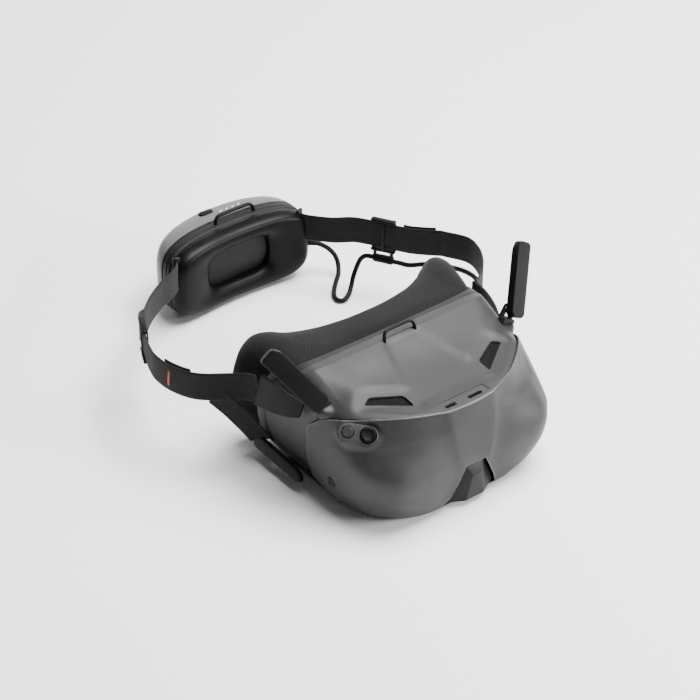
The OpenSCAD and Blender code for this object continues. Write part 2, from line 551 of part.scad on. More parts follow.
module charge_leds() color([0.9, 0.95, 0.9])
    for (x = led_spots) translate([x, led_y, pack_z + pack_h / 2 - 4]) cylinder(r = 0.9, h = 3.4);
pack_loop_route = [[1, 334, 68], [1, 335, 73], [3.5, 336, 76.4], [8, 336, 77.2], [20, 336, 77.4],
    [32, 336, 77.2], [36.5, 336, 76.4], [39, 335, 73], [39, 334, 68]];
module pack_strap_loop() color([0.1, 0.1, 0.1]) tube(pack_loop_route, 3.4, 24, 8);
module pack_screws() color([0.5, 0.5, 0.5])
    for (x = [-1, 1], z = [-1, 1]) translate([pack_x + x * 42, 333, pack_z + z * 24])
        rotate([-90, 0, 0]) screw(7);

// ---- power cable from the pack, down to the floor, up through the clip and to the plug ----
cable_route = [[88, 312, 29], [91.5, 309, 27.5], [96, 305, 24], [100, 301.5, 18], [100.5, 297, 11.5],
    [96, 290, 6], [88, 283, 3.4], [81, 276, 2.4], [75.5, 268.5, 2.3], [74.6, 262, 2.3],
    [78, 258.6, 2.5], [84.5, 260.5, 4], [90.5, 264.5, 8], [95.5, 268, 14.5], [100, 269, 22.5],
    [103.8, 268.4, 29.5], for (d = [-15, -5, 5, 15, 24]) along(left_buckle_at, left_buckle_yaw, d, clip_z),
    [136, 219, 37.5], [145.5, 203, 40], [150.5, 188, 42], [151, 174, 43.2], [146, 161, 44],
    [136.5, 148, 44.6], [125, 135.5, 45.2], [113, 124, 45.8], [105.5, 116, 46], [102, 109, 46]];
module power_cable() color([0.08, 0.08, 0.08]) tube(cable_route, cable_d, 78, 8);
module cable_relief() color([0.08, 0.08, 0.08])
    translate([88, 312, 29]) rotate([0, 0, 139.4]) rotate([0, 81, 0])
        cylinder(r1 = cable_d / 2 + 0.2, r2 = 4.2, h = 13);
module power_plug() color([0.08, 0.08, 0.08]) {
    translate([97.5, 98, 41]) cube([8, 12, 10]);
    translate([93.4, 104, 46]) rotate([0, 90, 0]) cylinder(r = 3, h = 5);
}

front_visor();
nose_insert();
main_housing();
bottom_shell();
rear_frame();
face_foam();
left_vent_mesh();
right_vent_mesh();
usb_port();
card_slot();
front_strap_loop();
control_panel();
back_button();
joystick_gimbal();
joystick_stem();
joystick_cap();
link_button();
left_antenna_bracket();
right_antenna_bracket();
left_antenna_pin();
right_antenna_pin();
left_antenna();
right_antenna();
left_upper_arm();
right_upper_arm();
left_lower_arm();
right_lower_arm();
lens_carriage();
left_lens();
right_lens();
display_panel();
main_board();
heat_sink();
fan_housing();
fan_rotor();
housing_screws();
left_upper_strap();
left_lower_strap();
left_rear_strap();
right_upper_strap();
right_lower_strap();
strap_tag();
left_buckle();
right_buckle();
pack_rear_case();
pack_frame();
head_cushion();
pack_label_plate();
battery_cells();
battery_board();
power_button();
charge_leds();
pack_strap_loop();
pack_screws();
power_cable();
cable_relief();
power_plug();
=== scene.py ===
import bmesh
import bpy
import numpy as np
from mathutils import Matrix, Vector
from mathutils.bvhtree import BVHTree


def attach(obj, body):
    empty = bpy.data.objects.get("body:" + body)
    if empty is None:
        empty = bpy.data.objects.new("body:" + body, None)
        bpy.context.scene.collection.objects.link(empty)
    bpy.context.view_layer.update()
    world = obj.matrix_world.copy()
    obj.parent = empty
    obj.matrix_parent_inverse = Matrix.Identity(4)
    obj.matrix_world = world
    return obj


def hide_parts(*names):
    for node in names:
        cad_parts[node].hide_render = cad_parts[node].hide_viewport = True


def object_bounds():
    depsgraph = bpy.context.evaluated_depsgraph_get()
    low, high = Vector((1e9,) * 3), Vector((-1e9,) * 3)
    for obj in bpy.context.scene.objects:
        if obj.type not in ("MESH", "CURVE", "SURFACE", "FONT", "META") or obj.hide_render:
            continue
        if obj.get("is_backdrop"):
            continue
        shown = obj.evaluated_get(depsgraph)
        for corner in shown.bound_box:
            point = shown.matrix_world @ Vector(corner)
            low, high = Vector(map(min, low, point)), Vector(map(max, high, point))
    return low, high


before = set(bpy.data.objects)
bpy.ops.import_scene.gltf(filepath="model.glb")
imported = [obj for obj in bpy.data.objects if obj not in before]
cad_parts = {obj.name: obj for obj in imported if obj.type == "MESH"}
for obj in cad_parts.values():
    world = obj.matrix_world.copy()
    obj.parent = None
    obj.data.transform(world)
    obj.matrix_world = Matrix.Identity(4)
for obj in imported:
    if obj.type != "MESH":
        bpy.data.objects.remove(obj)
cad_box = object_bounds()
# Places and sizes are in millimetres. X points to the wearer's left, Y from the visor to the pack, Z up.
MM = 0.001


# ---- curves and grids ----
def unit(v):
    v = np.asarray(v, float)
    return v / np.linalg.norm(v, axis=-1, keepdims=True)


def whole(half):
    """A row of points across the object, from its left half, which starts at the middle plane."""
    half = np.asarray(half, float)
    mirrored = half[:0:-1].copy()
    mirrored[:, 0] *= -1
    return np.concatenate([mirrored, half])


def curve(points, n, loop=False):
    """n steps along a smooth curve through the points."""
    p = np.asarray(points, float)
    if loop:
        q = np.concatenate([p[-1:], p, p[:2]])
        s = np.arange(n) * len(p) / n
    else:
        q = np.concatenate([[2 * p[0] - p[1]], p, [2 * p[-1] - p[-2]]])
        s = np.arange(n + 1) * (len(p) - 1) / n
    i = np.minimum(s.astype(int), len(p) - 1 if loop else len(p) - 2)
    t = (s - i).reshape(-1, *([1] * (p.ndim - 1)))
    a, b, c, d = q[i], q[i + 1], q[i + 2], q[i + 3]
    return 0.5 * (2 * b + (c - a) * t + (2 * a - 5 * b + 4 * c - d) * t**2 + (3 * b - a - 3 * c + d) * t**3)


def creased(points, step, sharp):
    """A curve of step pieces a span; sharp says how much of a corner each point is, from 0 to 1."""
    p = np.asarray(points, float)
    s = np.asarray(sharp, float).reshape(-1, 1)
    ahead = np.diff(p, axis=0)
    tangent = np.concatenate([ahead[:1], 0.5 * (ahead[1:] + ahead[:-1]), ahead[-1:]])
    leave = tangent[:-1] + (ahead - tangent[:-1]) * s[:-1]
    arrive = tangent[1:] + (ahead - tangent[1:]) * s[1:]
    t = (np.arange(step) / step)[None, :, None]
    q = (2 * t**3 - 3 * t**2 + 1) * p[:-1, None] + (t**3 - 2 * t**2 + t) * leave[:, None]
    q = q + (3 * t**2 - 2 * t**3) * p[1:, None] + (t**3 - t**2) * arrive[:, None]
    return np.concatenate([q.reshape(-1, p.shape[1]), p[-1:]])


def patch(rows, nu, nv):
    """A smooth grid of nv by nu cells through rows of points."""
    g = np.array([curve(r, nu) for r in rows])
    return curve(g, nv)


def inner_normal(g):
    """Normals of a grid. They point inwards on the visor and the arms, and outwards on the housing."""
    return unit(np.cross(np.gradient(g, axis=1), np.gradient(g, axis=0)))


def relax(g, rounds):
    """Softens a grid's creases and keeps its border."""
    for _ in range(rounds):
        n = g.copy()
        around = g[:-2, 1:-1] + g[2:, 1:-1] + g[1:-1, :-2] + g[1:-1, 2:]
        n[1:-1, 1:-1] = 0.5 * g[1:-1, 1:-1] + 0.125 * around
        g = n
    return g


def shell(rows, creases, across, down, down_creases, rounds):
    """A grid over half rows, with across cells between the points of a row and down cells between rows.

    creases says, for each row, how sharp the first and the fourth point from the middle are, and
    down_creases how sharp each row is, so many points off the middle.
    """
    middle = len(rows[0]) - 1
    lines = []
    for row, (first, fourth) in zip(rows, creases):
        sharp = np.zeros(2 * middle + 1)
        sharp[[middle - 1, middle + 1]], sharp[[middle - 4, middle + 4]] = first, fourth
        lines.append(creased(whole(row), across, sharp))
    columns = np.array(lines).transpose(1, 0, 2)
    grid = [creased(column, down, down_creases(abs(k / across - middle))) for k, column in enumerate(columns)]
    return relax(np.array(grid).transpose(1, 0, 2), rounds)


def smooth_step(x, a, b):
    """Rises from 0 at a to 1 at b."""
    t = np.clip((np.asarray(x, float) - a) / (b - a), 0, 1)
    return t * t * (3 - 2 * t)


def away_from(p, polygon):
    """Distance in the XY plane from points p to a convex polygon, below zero inside it."""
    q = np.asarray(polygon, float)
    inside = np.full(p.shape[:-1], -1e9)
    nearest = np.full(p.shape[:-1], 1e9)
    for a, b in zip(q, np.roll(q, -1, axis=0)):
        d = b - a
        n = np.array([d[1], -d[0]]) / np.hypot(*d)
        r = p[..., :2] - a
        inside = np.maximum(inside, r @ n)
        t = np.clip((r @ d) / (d @ d), 0, 1)
        nearest = np.minimum(nearest, np.linalg.norm(r - t[..., None] * d, axis=-1))
    return np.where(inside > 0, nearest, inside)


# ---- meshes ----
def new_mesh(name, points, faces, uv=None):
    """An object from points in millimetres, with one UV pair for each point."""
    me = bpy.data.meshes.new(name)
    me.from_pydata([tuple(p) for p in np.asarray(points, float) * MM], [], [tuple(f) for f in faces])
    if uv is not None:
        layer = me.uv_layers.new(name="UVMap")
        loops = np.empty(len(me.loops), int)
        me.loops.foreach_get("vertex_index", loops)
        layer.data.foreach_set("uv", np.asarray(uv, float)[loops].ravel())
    me.update()
    obj = bpy.data.objects.new(name, me)
    bpy.context.collection.objects.link(obj)
    return obj


def grid_faces(m, n, start=0):
    """Quads of a grid of m by n points that are numbered from start."""
    i, j = np.meshgrid(np.arange(m - 1), np.arange(n - 1), indexing="ij")
    f = np.stack([i * n + j, i * n + j + 1, (i + 1) * n + j + 1, (i + 1) * n + j], axis=-1).reshape(-1, 4)
    return [tuple(int(x) + start for x in q) for q in f]


def lengths(g, axis):
    """Running length along one direction of a grid, for a pattern that follows it."""
    d = np.linalg.norm(np.diff(g, axis=axis), axis=-1)
    d = d.mean(axis=1 - axis)
    return np.concatenate([[0], np.cumsum(d)])


def finish_normals(obj, angle=40):
    """Welds a mesh, turns its faces outwards, and shades it smooth up to an angle."""
    bm = bmesh.new()
    bm.from_mesh(obj.data)
    bmesh.ops.remove_doubles(bm, verts=bm.verts, dist=1e-7)
    bmesh.ops.recalc_face_normals(bm, faces=bm.faces)
    bm.to_mesh(obj.data)
    bm.free()
    obj.data.shade_smooth()
    obj.data.set_sharp_from_angle(angle=np.radians(angle))


def apply(obj):
    """Bakes the modifiers of an object into its mesh."""
    deps = bpy.context.evaluated_depsgraph_get()
    result = obj.evaluated_get(deps)
    me = bpy.data.meshes.new_from_object(result, preserve_all_data_layers=True, depsgraph=deps)
    old = obj.data
    obj.modifiers.clear()
    obj.data = me
    bpy.data.meshes.remove(old)
    return obj


def modify(obj, kind, **settings):
    m = obj.modifiers.new(kind.lower(), kind)
    for k, v in settings.items():
        setattr(m, k, v)
    return apply(obj)


def bevel(obj, width, segments=3, angle=35):
    return modify(obj, "BEVEL", width=width * MM, segments=segments, limit_method="ANGLE",
                  angle_limit=np.radians(angle), harden_normals=False)


def cut(obj, *tools):
    """Takes the tools away from an object, and removes them."""
    for tool in tools:
        modify(obj, "BOOLEAN", object=tool, operation="DIFFERENCE", solver="EXACT")
        bpy.data.objects.remove(tool)
    return obj


def merge(obj, *others):
    """Joins others to an object as one closed mesh."""
    for other in others:
        modify(obj, "BOOLEAN", object=other, operation="UNION", solver="EXACT")
        bpy.data.objects.remove(other)
    return obj


def grid_sheet(name, g, t):
    """A closed sheet between a grid and its copy a distance t along the normals."""
    m, n = g.shape[:2]
    inner = g + inner_normal(g) * t
    points = np.concatenate([g.reshape(-1, 3), inner.reshape(-1, 3)])
    faces = grid_faces(m, n)
    faces += [tuple(reversed(f)) for f in grid_faces(m, n, start=m * n)]
    rim = [(0, j) for j in range(n)] + [(i, n - 1) for i in range(1, m)]
    rim += [(m - 1, j) for j in range(n - 2, -1, -1)] + [(i, 0) for i in range(m - 2, 0, -1)]
    ids = [i * n + j for i, j in rim]
    faces += [(b, a, a + m * n, b + m * n) for a, b in zip(ids, ids[1:] + ids[:1])]
    u, v = np.meshgrid(lengths(g, 1), lengths(g, 0))
    flat = np.stack([u, v], axis=-1).reshape(-1, 2) / 100
    obj = new_mesh(name, points, faces, np.concatenate([flat, flat]))
    finish_normals(obj)
    return obj


def skin(name, rings, loop=False, angle=40):
    """A closed skin over rings of points, with flat caps or joined into a ring."""
    g = np.asarray(rings, float)
    m, n = g.shape[:2]
    g = np.concatenate([g, g[:, :1]], axis=1)
    if loop:
        g = np.concatenate([g, g[:1]])
    faces = grid_faces(*g.shape[:2])
    if not loop:
        faces += [tuple(range(n)), tuple((m - 1) * (n + 1) + i for i in range(n))]
    u, v = np.meshgrid(lengths(g, 1), lengths(g, 0))
    obj = new_mesh(name, g.reshape(-1, 3), faces, np.stack([u, v], axis=-1).reshape(-1, 2) / 100)
    finish_normals(obj, angle)
    return obj


def prism(name, outline, z0, z1):
    """An outline in the XY plane, drawn out from z0 to z1."""
    o = np.asarray(outline, float)
    rings = [np.column_stack([o, np.full(len(o), z)]) for z in (z0, z1)]
    return skin(name, rings, angle=30)


def block(name, low, high):
    x0, y0, z0 = low
    x1, y1, z1 = high
    return prism(name, [[x0, y0], [x1, y0], [x1, y1], [x0, y1]], z0, z1)


def disc(radius, n=48, cx=0.0, cy=0.0):
    a = np.arange(n) * 2 * np.pi / n
    return np.column_stack([cx + radius * np.cos(a), cy + radius * np.sin(a)])


def rounded(outline, radius, n=6):
    """A polygon with its corners rounded."""
    p = np.asarray(outline, float)
    r = np.broadcast_to(radius, len(p))
    out = []
    for i in range(len(p)):
        a, b, c = p[i - 1], p[i], p[(i + 1) % len(p)]
        d, e = a - b, c - b
        k = min(r[i], 0.45 * np.hypot(*d), 0.45 * np.hypot(*e))
        start, end = b + unit(d) * k, b + unit(e) * k
        for t in np.linspace(0, 1, n):
            out.append((1 - t) ** 2 * start + 2 * t * (1 - t) * b + t**2 * end)
    return np.array(out)


def pad_outline(x, y, radius, n=6):
    """A rectangle of half sizes x and y with rounded corners."""
    return rounded([[-x, -y], [x, -y], [x, y], [-x, y]], radius, n)


def turned(name, profile, n=64, angle=35):
    """A body turned about Z from a list of [radius, height]."""
    a = np.arange(n) * 2 * np.pi / n
    ring = np.column_stack([np.cos(a), np.sin(a)])
    return skin(name, [np.column_stack([ring * r, np.full(n, z)]) for r, z in profile], angle=angle)


def tube(name, route, d, n, sides=16):
    """A round tube along a route of n steps, or along a ready line where n is 0. Returns it and its line."""
    p = curve(route, n) if n else np.asarray(route, float)
    t = unit(np.gradient(p, axis=0))
    normal = unit(np.cross(t[0], [0.0, 0.0, 1.0]) if abs(t[0][2]) < 0.9 else np.cross(t[0], [1.0, 0.0, 0.0]))
    rings = []
    for q, tangent in zip(p, t):
        normal = unit(normal - tangent * (normal @ tangent))
        other = np.cross(tangent, normal)
        a = np.arange(sides) * 2 * np.pi / sides
        rings.append(q + d / 2 * (np.outer(np.cos(a), normal) + np.outer(np.sin(a), other)))
    return skin(name, rings, angle=60), p


def band(name, route, w, t, n, facing=None, start=0.0, end=1.0, shift=0.0, lift=0.0):
    """Webbing along a route of n steps, with rounded edges and a pattern that runs along it.

    It stands upright, or its flat side faces a given way. start and end keep a share of the route, and
    shift and lift move the band off it, across its thickness and along its width.
    """
    p = curve(route, n)
    d = unit(np.gradient(p, axis=0))
    side = unit(np.cross(d, [0, 0, 1.0])) if facing is None else unit(facing - d * (d @ facing)[:, None])
    up = unit(np.cross(side, d))
    p = p + side * shift + up * lift
    keep = slice(round(start * n), round(end * n) + 1)
    p, side, up = p[keep], side[keep], up[keep]
    h, r = w / 2, t / 2
    half = [(1, z) for z in np.linspace(-h + r, h - r, 11)]
    half += [(0.6, h - 0.3 * r), (0, h), (-0.6, h - 0.3 * r)]
    section = np.array(half + [(-x, -z) for x, z in half] + half[:1])
    g = p[:, None] + side[:, None] * r * section[:, :1] + up[:, None] * section[:, 1:]
    m, k = g.shape[:2]
    faces = grid_faces(m, k) + [tuple(range(k - 1)), tuple((m - 1) * k + i for i in range(k - 1))]
    along = np.concatenate([[0], np.cumsum(np.linalg.norm(np.diff(p, axis=0), axis=1))])
    uv = np.array([[a, b] for a in along for b in section[:, 1]])
    obj = new_mesh(name, g.reshape(-1, 3), faces, uv / 10)
    finish_normals(obj, 50)
    return obj


def soft_box(hw, hh, cx, cz, y, bow, power, n):
    """A ring of n points, a box with soft corners, whose ends bow towards -Y."""
    a = np.arange(n) * 2 * np.pi / n
    x = hw * np.sign(np.cos(a)) * np.abs(np.cos(a)) ** (2 / power)
    z = hh * np.sign(np.sin(a)) * np.abs(np.sin(a)) ** (2 / power)
    return np.column_stack([cx + x, y - bow * x * x, cz + z])


def puff(obj, held, cap, pressure=4.0):
    """Swells a padded cover with cloth simulation: held points stay, and none moves further than cap."""
    rest = np.array([v.co for v in obj.data.vertices])
    group = obj.vertex_groups.new(name="held")
    group.add([int(i) for i in np.flatnonzero(held(rest / MM))], 1.0, "REPLACE")
    cloth = obj.modifiers.new("cloth", "CLOTH")
    cloth.settings.vertex_group_mass = "held"
    cloth.settings.use_pressure = True
    cloth.settings.uniform_pressure_force = pressure
    cloth.settings.effector_weights.gravity = 0
    scene = bpy.context.scene
    for step in range(1, 21):
        scene.frame_set(step)
    deps = bpy.context.evaluated_depsgraph_get()
    moved = np.array([v.co for v in obj.evaluated_get(deps).data.vertices]) - rest
    obj.modifiers.remove(cloth)
    scene.frame_set(1)
    far = np.linalg.norm(moved, axis=1, keepdims=True)
    moved *= np.minimum(1, cap * MM / np.maximum(far, 1e-9))
    obj.data.vertices.foreach_set("co", (rest + moved).ravel())
    obj.data.update()
    return obj


def place(obj, at=(0, 0, 0), yaw=0.0, tilt=0.0, roll=0.0):
    """Moves a piece from its own axes: tilt about X, roll about Y, then yaw about Z."""
    turn = Matrix.Rotation(np.radians(yaw), 4, "Z") @ Matrix.Rotation(np.radians(roll), 4, "Y")
    turn = turn @ Matrix.Rotation(np.radians(tilt), 4, "X")
    obj.data.transform(Matrix.Translation(Vector(at) * MM) @ turn)
    return obj


def rod(radius, x0, x1, at=(0, 0, 0), n=32):
    """A round rod along X from x0 to x1."""
    return place(turned("rod", [[radius, x0], [radius, x1]], n), at, roll=90)


def mirror_x(obj, name):
    """The same piece for the other side of the head."""
    me = obj.data.copy()
    me.transform(Matrix.Scale(-1, 4, (1, 0, 0)))
    me.flip_normals()
    twin = bpy.data.objects.new(name, me)
    bpy.context.collection.objects.link(twin)
    return twin


# ---- materials ----
def nodes_of(name):
    mat = bpy.data.materials.new(name)
    mat.use_nodes = True
    tree = mat.node_tree
    return mat, tree, tree.nodes["Principled BSDF"]


def link(tree, a, b):
    tree.links.new(a, b)


def settle(node, **values):
    """Sets inputs of a shader node by their names, with _ for a space."""
    for name, value in values.items():
        node.inputs[name.replace("_", " ")].default_value = value
    return node


def add(tree, kind, **values):
    return settle(tree.nodes.new("ShaderNode" + kind), **values)


def maths(tree, kind, a, b=None):
    """A sum of numbers or sockets, as a socket."""
    n = add(tree, "Math")
    n.operation = kind
    for i, v in enumerate((a, b)):
        if v is None:
            continue
        if isinstance(v, (int, float)):
            n.inputs[i].default_value = v
        else:
            link(tree, v, n.inputs[i])
    return n.outputs[0]


def noise(tree, scale, detail):
    n = add(tree, "TexNoise", Scale=scale, Detail=detail)
    link(tree, add(tree, "TexCoord").outputs["Object"], n.inputs["Vector"])
    return n.outputs["Fac"]


def ramp(tree, value, start, end, low, high):
    """A value that goes from low at start to high at end, and no further."""
    n = add(tree, "MapRange", From_Min=start, From_Max=end, To_Min=low, To_Max=high)
    link(tree, value, n.inputs["Value"])
    return n.outputs["Result"]


def spread(tree, value, low, high):
    """Stretches the middle of a noise to the whole range from low to high."""
    return ramp(tree, value, 0.3, 0.7, low, high)


def tint(tree, value, dark, light):
    """A colour between dark and light."""
    n = add(tree, "Mix")
    n.data_type = "RGBA"
    settle(n, A=(*dark, 1), B=(*light, 1))
    link(tree, value, n.inputs["Factor"])
    return n.outputs["Result"]


def raise_bump(tree, bsdf, height, distance):
    b = add(tree, "Bump", Distance=distance, Strength=1.0)
    link(tree, height, b.inputs["Height"])
    link(tree, b.outputs["Normal"], bsdf.inputs["Normal"])


def plastic(name, color, rough=0.45, speckle=0.12, grain=2600, bump=0.00003, metal=0.0, wear=0.06, coat=0.0,
            gloss=0.2):
    """Moulded plastic or metal with fine speckle, slow unevenness of gloss and a fine grain."""
    mat, tree, bsdf = nodes_of(name)
    fine = spread(tree, noise(tree, grain, 2), 0, 1)
    slow = spread(tree, noise(tree, 35, 4), -wear, wear)
    dark = [c * (1 - speckle) for c in color]
    light = [min(1, c * (1 + speckle)) for c in color]
    link(tree, tint(tree, fine, dark, light), bsdf.inputs["Base Color"])
    link(tree, maths(tree, "ADD", slow, rough), bsdf.inputs["Roughness"])
    settle(bsdf, Metallic=metal, Specular_IOR_Level=gloss, Coat_Weight=coat)
    raise_bump(tree, bsdf, fine, bump)
    return mat


def uv_axes(tree):
    s = add(tree, "SeparateXYZ")
    link(tree, add(tree, "TexCoord").outputs["UV"], s.inputs[0])
    return s.outputs[0], s.outputs[1]


def wave(tree, value, period):
    """A wave from 0 to 1 along a value, in the value's own units."""
    a = maths(tree, "SINE", maths(tree, "MULTIPLY", value, 2 * np.pi / period))
    return maths(tree, "ADD", maths(tree, "MULTIPLY", a, 0.5), 0.5)


def webbing(name, dark, light):
    """Elastic webbing: rows along the band, each broken into small knots."""
    mat, tree, bsdf = nodes_of(name)
    u, v = uv_axes(tree)
    rows = wave(tree, v, 0.2)
    shifted = maths(tree, "ADD", maths(tree, "MULTIPLY", u, 2.0), maths(tree, "MULTIPLY", v, 1.25))
    knots = wave(tree, shifted, 0.25)
    weave = maths(tree, "MULTIPLY", rows, maths(tree, "ADD", maths(tree, "MULTIPLY", knots, 0.65), 0.35))
    fuzz = spread(tree, noise(tree, 1500, 2), 0.75, 1.15)
    link(tree, tint(tree, maths(tree, "MULTIPLY", weave, fuzz), dark, light), bsdf.inputs["Base Color"])
    settle(bsdf, Roughness=0.88, Specular_IOR_Level=0.25, Sheen_Weight=0.05, Sheen_Roughness=0.5)
    raise_bump(tree, bsdf, weave, 0.00035)
    return mat


def knit(name, dark, light):
    """Brushed knit over foam: fine slanting rows of dots."""
    mat, tree, bsdf = nodes_of(name)
    u, v = uv_axes(tree)
    a = wave(tree, maths(tree, "ADD", u, v), 0.0135)
    b = wave(tree, maths(tree, "SUBTRACT", u, v), 0.0135)
    dots = maths(tree, "MULTIPLY", a, b)
    fuzz = spread(tree, noise(tree, 900, 3), 0.7, 1.2)
    link(tree, tint(tree, maths(tree, "MULTIPLY", dots, fuzz), dark, light), bsdf.inputs["Base Color"])
    settle(bsdf, Roughness=0.92, Specular_IOR_Level=0.2, Sheen_Weight=0.08, Sheen_Roughness=0.4)
    raise_bump(tree, bsdf, dots, 0.0003)
    return mat


def grille(name):
    """A fine black woven mesh."""
    mat, tree, bsdf = nodes_of(name)
    cells = add(tree, "TexVoronoi", Scale=1100)
    link(tree, add(tree, "TexCoord").outputs["Object"], cells.inputs["Vector"])
    threads = cells.outputs["Distance"]
    link(tree, tint(tree, threads, (0.001, 0.001, 0.001), (0.014, 0.014, 0.014)), bsdf.inputs["Base Color"])
    settle(bsdf, Roughness=0.8, Specular_IOR_Level=0.05)
    raise_bump(tree, bsdf, threads, 0.0005)
    return mat


def glass(name):
    """A dark lens with a violet coating."""
    mat, tree, bsdf = nodes_of(name)
    settle(bsdf, Base_Color=(0.05, 0.055, 0.08, 1), Coat_Weight=0.6, Coat_Tint=(0.75, 0.6, 1, 1))
    link(tree, spread(tree, noise(tree, 60, 3), 0.03, 0.09), bsdf.inputs["Roughness"])
    return mat


GREY = plastic("goggle_grey", (0.0205, 0.0208, 0.0216), 0.46, 0.4, 3000, 0.00002, gloss=0.26)
# A lighter, glossier grey for the beads on the visor's rim and notch: its lightness is a painted highlight.
PAINTED_HIGHLIGHT = plastic("painted_highlight_grey", (0.055, 0.056, 0.058), 0.3, 0.15, 3000, 0.00001, gloss=0.4)
SIDE = plastic("side_grey", (0.011, 0.0111, 0.0116), 0.5, 0.25, 3000, 0.00002, gloss=0.12)
DARK = plastic("dark_shell", (0.008, 0.008, 0.0083), 0.46, 0.25, gloss=0.14)
BLACK = plastic("black_plastic", (0.0025, 0.0025, 0.0026), 0.44, 0.3, gloss=0.1)
TRIM = plastic("frame_trim", (0.013, 0.013, 0.0136), 0.45, 0.25)
SILVER = plastic("pack_silver", (0.1, 0.102, 0.104), 0.4, 0.12, 3400, 0.000015, metal=0.2, gloss=0.3)
RUBBER = plastic("soft_rubber", (0.0014, 0.0014, 0.0015), 0.38, 0.25, 1800, 0.00003, gloss=0.1)
CABLE = plastic("cable_rubber", (0.003, 0.003, 0.0031), 0.45, 0.25, 2200, 0.00002, gloss=0.1)
STEEL = plastic("bare_metal", (0.5, 0.5, 0.51), 0.32, 0.08, 1800, 0.00002, metal=1.0)
IRON = plastic("dark_metal", (0.06, 0.06, 0.062), 0.4, 0.1, 1800, 0.00002, metal=1.0)
BOARD = plastic("circuit_board", (0.012, 0.06, 0.028), 0.4, 0.3, 700, 0.0001, coat=0.4)
CELL = plastic("cell_wrap", (0.03, 0.09, 0.26), 0.3, 0.1, 900, 0.00002, coat=0.3)
LAMP = plastic("lamp_lens", (0.82, 0.84, 0.84), 0.3, 0.03, 1500, 0.00001)
WEB = webbing("black_webbing", (0.0016, 0.0016, 0.0017), (0.0085, 0.0085, 0.0088))
TAG = webbing("orange_tag", (0.42, 0.07, 0.025), (0.75, 0.2, 0.1))
FOAM = knit("foam_knit", (0.0025, 0.0025, 0.0026), (0.016, 0.016, 0.0165))
MESH = grille("vent_mesh")
LENS = glass("coated_lens")


def dress(obj, material, nodes=(), body="goggles", angle=None):
    """Gives a piece its material, the CAD nodes that it replaces and the body that it rides on.

    Where an angle is given, the piece is first shaded smooth up to it.
    """
    if angle:
        finish_normals(obj, angle)
    obj.data.materials.clear()
    obj.data.materials.append(material)
    if nodes:
        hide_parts(*nodes)
    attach(obj, body)
    return obj


# ---- camera, floor and light ----
AZIMUTH, ELEVATION = np.radians(-37.0), np.radians(36.5)
# The camera looks past AIM, from a place that is moved aside and up in its own frame.
AIM, DISTANCE, ASIDE, ABOVE = np.array([0, 0, 92]), 1666.67, -87.8, 36.3
right = np.array([np.cos(AZIMUTH), np.sin(AZIMUTH), 0])
level = np.array([np.sin(AZIMUTH), -np.cos(AZIMUTH), 0])
back = level * np.cos(ELEVATION) + np.array([0, 0, np.sin(ELEVATION)])
up = np.cross(back, right)
eye = AIM + back * DISTANCE + right * ASIDE + up * ABOVE
camera = bpy.data.objects.new("camera", bpy.data.cameras.new("camera"))
bpy.context.collection.objects.link(camera)
turn = Matrix(np.column_stack([right, up, back]).tolist()).to_4x4()
camera.matrix_world = Matrix.Translation(Vector(eye * MM)) @ turn
camera.data.lens = 115.7
camera.data.sensor_width = 36
bpy.context.scene.camera = camera


def lamp(name, at, target, size, power):
    """A soft rectangular light, in metres and watts."""
    data = bpy.data.lights.new(name, "AREA")
    data.shape = "RECTANGLE"
    data.size, data.size_y = size
    data.energy = power
    obj = bpy.data.objects.new(name, data)
    bpy.context.collection.objects.link(obj)
    aim = (Vector(target) - Vector(at)).to_track_quat("-Z", "Y").to_matrix().to_4x4()
    obj.matrix_world = Matrix.Translation(Vector(at)) @ aim


FLOOR = 6000
floor = new_mesh("floor", [[x * FLOOR, y * FLOOR, -0.2] for x, y in ((-1, -1), (1, -1), (1, 1), (-1, 1))],
                 [(0, 1, 2, 3)])
mat, tree, bsdf = nodes_of("floor_white")
settle(bsdf, Base_Color=(0.86, 0.86, 0.86, 1), Roughness=0.9, Emission_Color=(1, 1, 1, 1))
# The lamps light the floor near the object, and a faint glow keeps it pale out to the horizon.
distance = add(tree, "VectorMath")
distance.operation = "LENGTH"
link(tree, add(tree, "NewGeometry").outputs["Position"], distance.inputs[0])
link(tree, ramp(tree, distance.outputs["Value"], 1.3, 3.4, 0, 0.62), bsdf.inputs["Emission Strength"])
floor.data.materials.append(mat)
floor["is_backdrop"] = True

lamp("top_light", (0.6, 0.0, 1.9), (0, 0.12, 0.03), (1.4, 1.4), 150)
lamp("key_light", (1.25, -1.45, 0.75), (0, 0.05, 0.05), (0.9, 0.7), 74)
lamp("horizon_light", (1.15, 1.95, 0.72), (0, 0.1, 0.05), (2.8, 0.6), 30)
# The studio's walls are pale near the horizon and dim above it.
world = bpy.data.worlds.new("studio")
world.use_nodes = True
tree = world.node_tree
walls = settle(tree.nodes["Background"], Color=(0.95, 0.96, 1, 1))
direction = add(tree, "SeparateXYZ")
link(tree, add(tree, "TexCoord").outputs["Generated"], direction.inputs[0])
link(tree, ramp(tree, direction.outputs["Z"], 0.02, 0.24, 0.75, 0.13), walls.inputs["Strength"])
bpy.context.scene.world = world

# ---- power cable, from the pack over the floor, up through the clip and to the plug ----
LEFT_BUCKLE, LEFT_YAW = np.array([115, 251.5, 58.0]), -58.6
RIGHT_BUCKLE, RIGHT_YAW = np.array([-129, 246, 59.0]), 66.2
CLIP_Z = -24.5  # the cable clip, below the middle of the left buckle
CABLE_D = 4.2
CABLE_EXIT = (88, 312, 29)
SOCKET = (0, 104, 46)  # the plug enters along X
# Turns a drawing in X and Y into one in Y and Z, with its thickness along X.
SIDEWAYS = Matrix(((0, 0, 1, 0), (1, 0, 0, 0), (0, 1, 0, 0), (0, 0, 0, 1)))


def along(at, yaw, d, dz=0.0):
    """A point a distance d from a buckle in the direction of its webbing."""
    return np.array(at, float) + [np.cos(np.radians(yaw)) * d, np.sin(np.radians(yaw)) * d, dz]


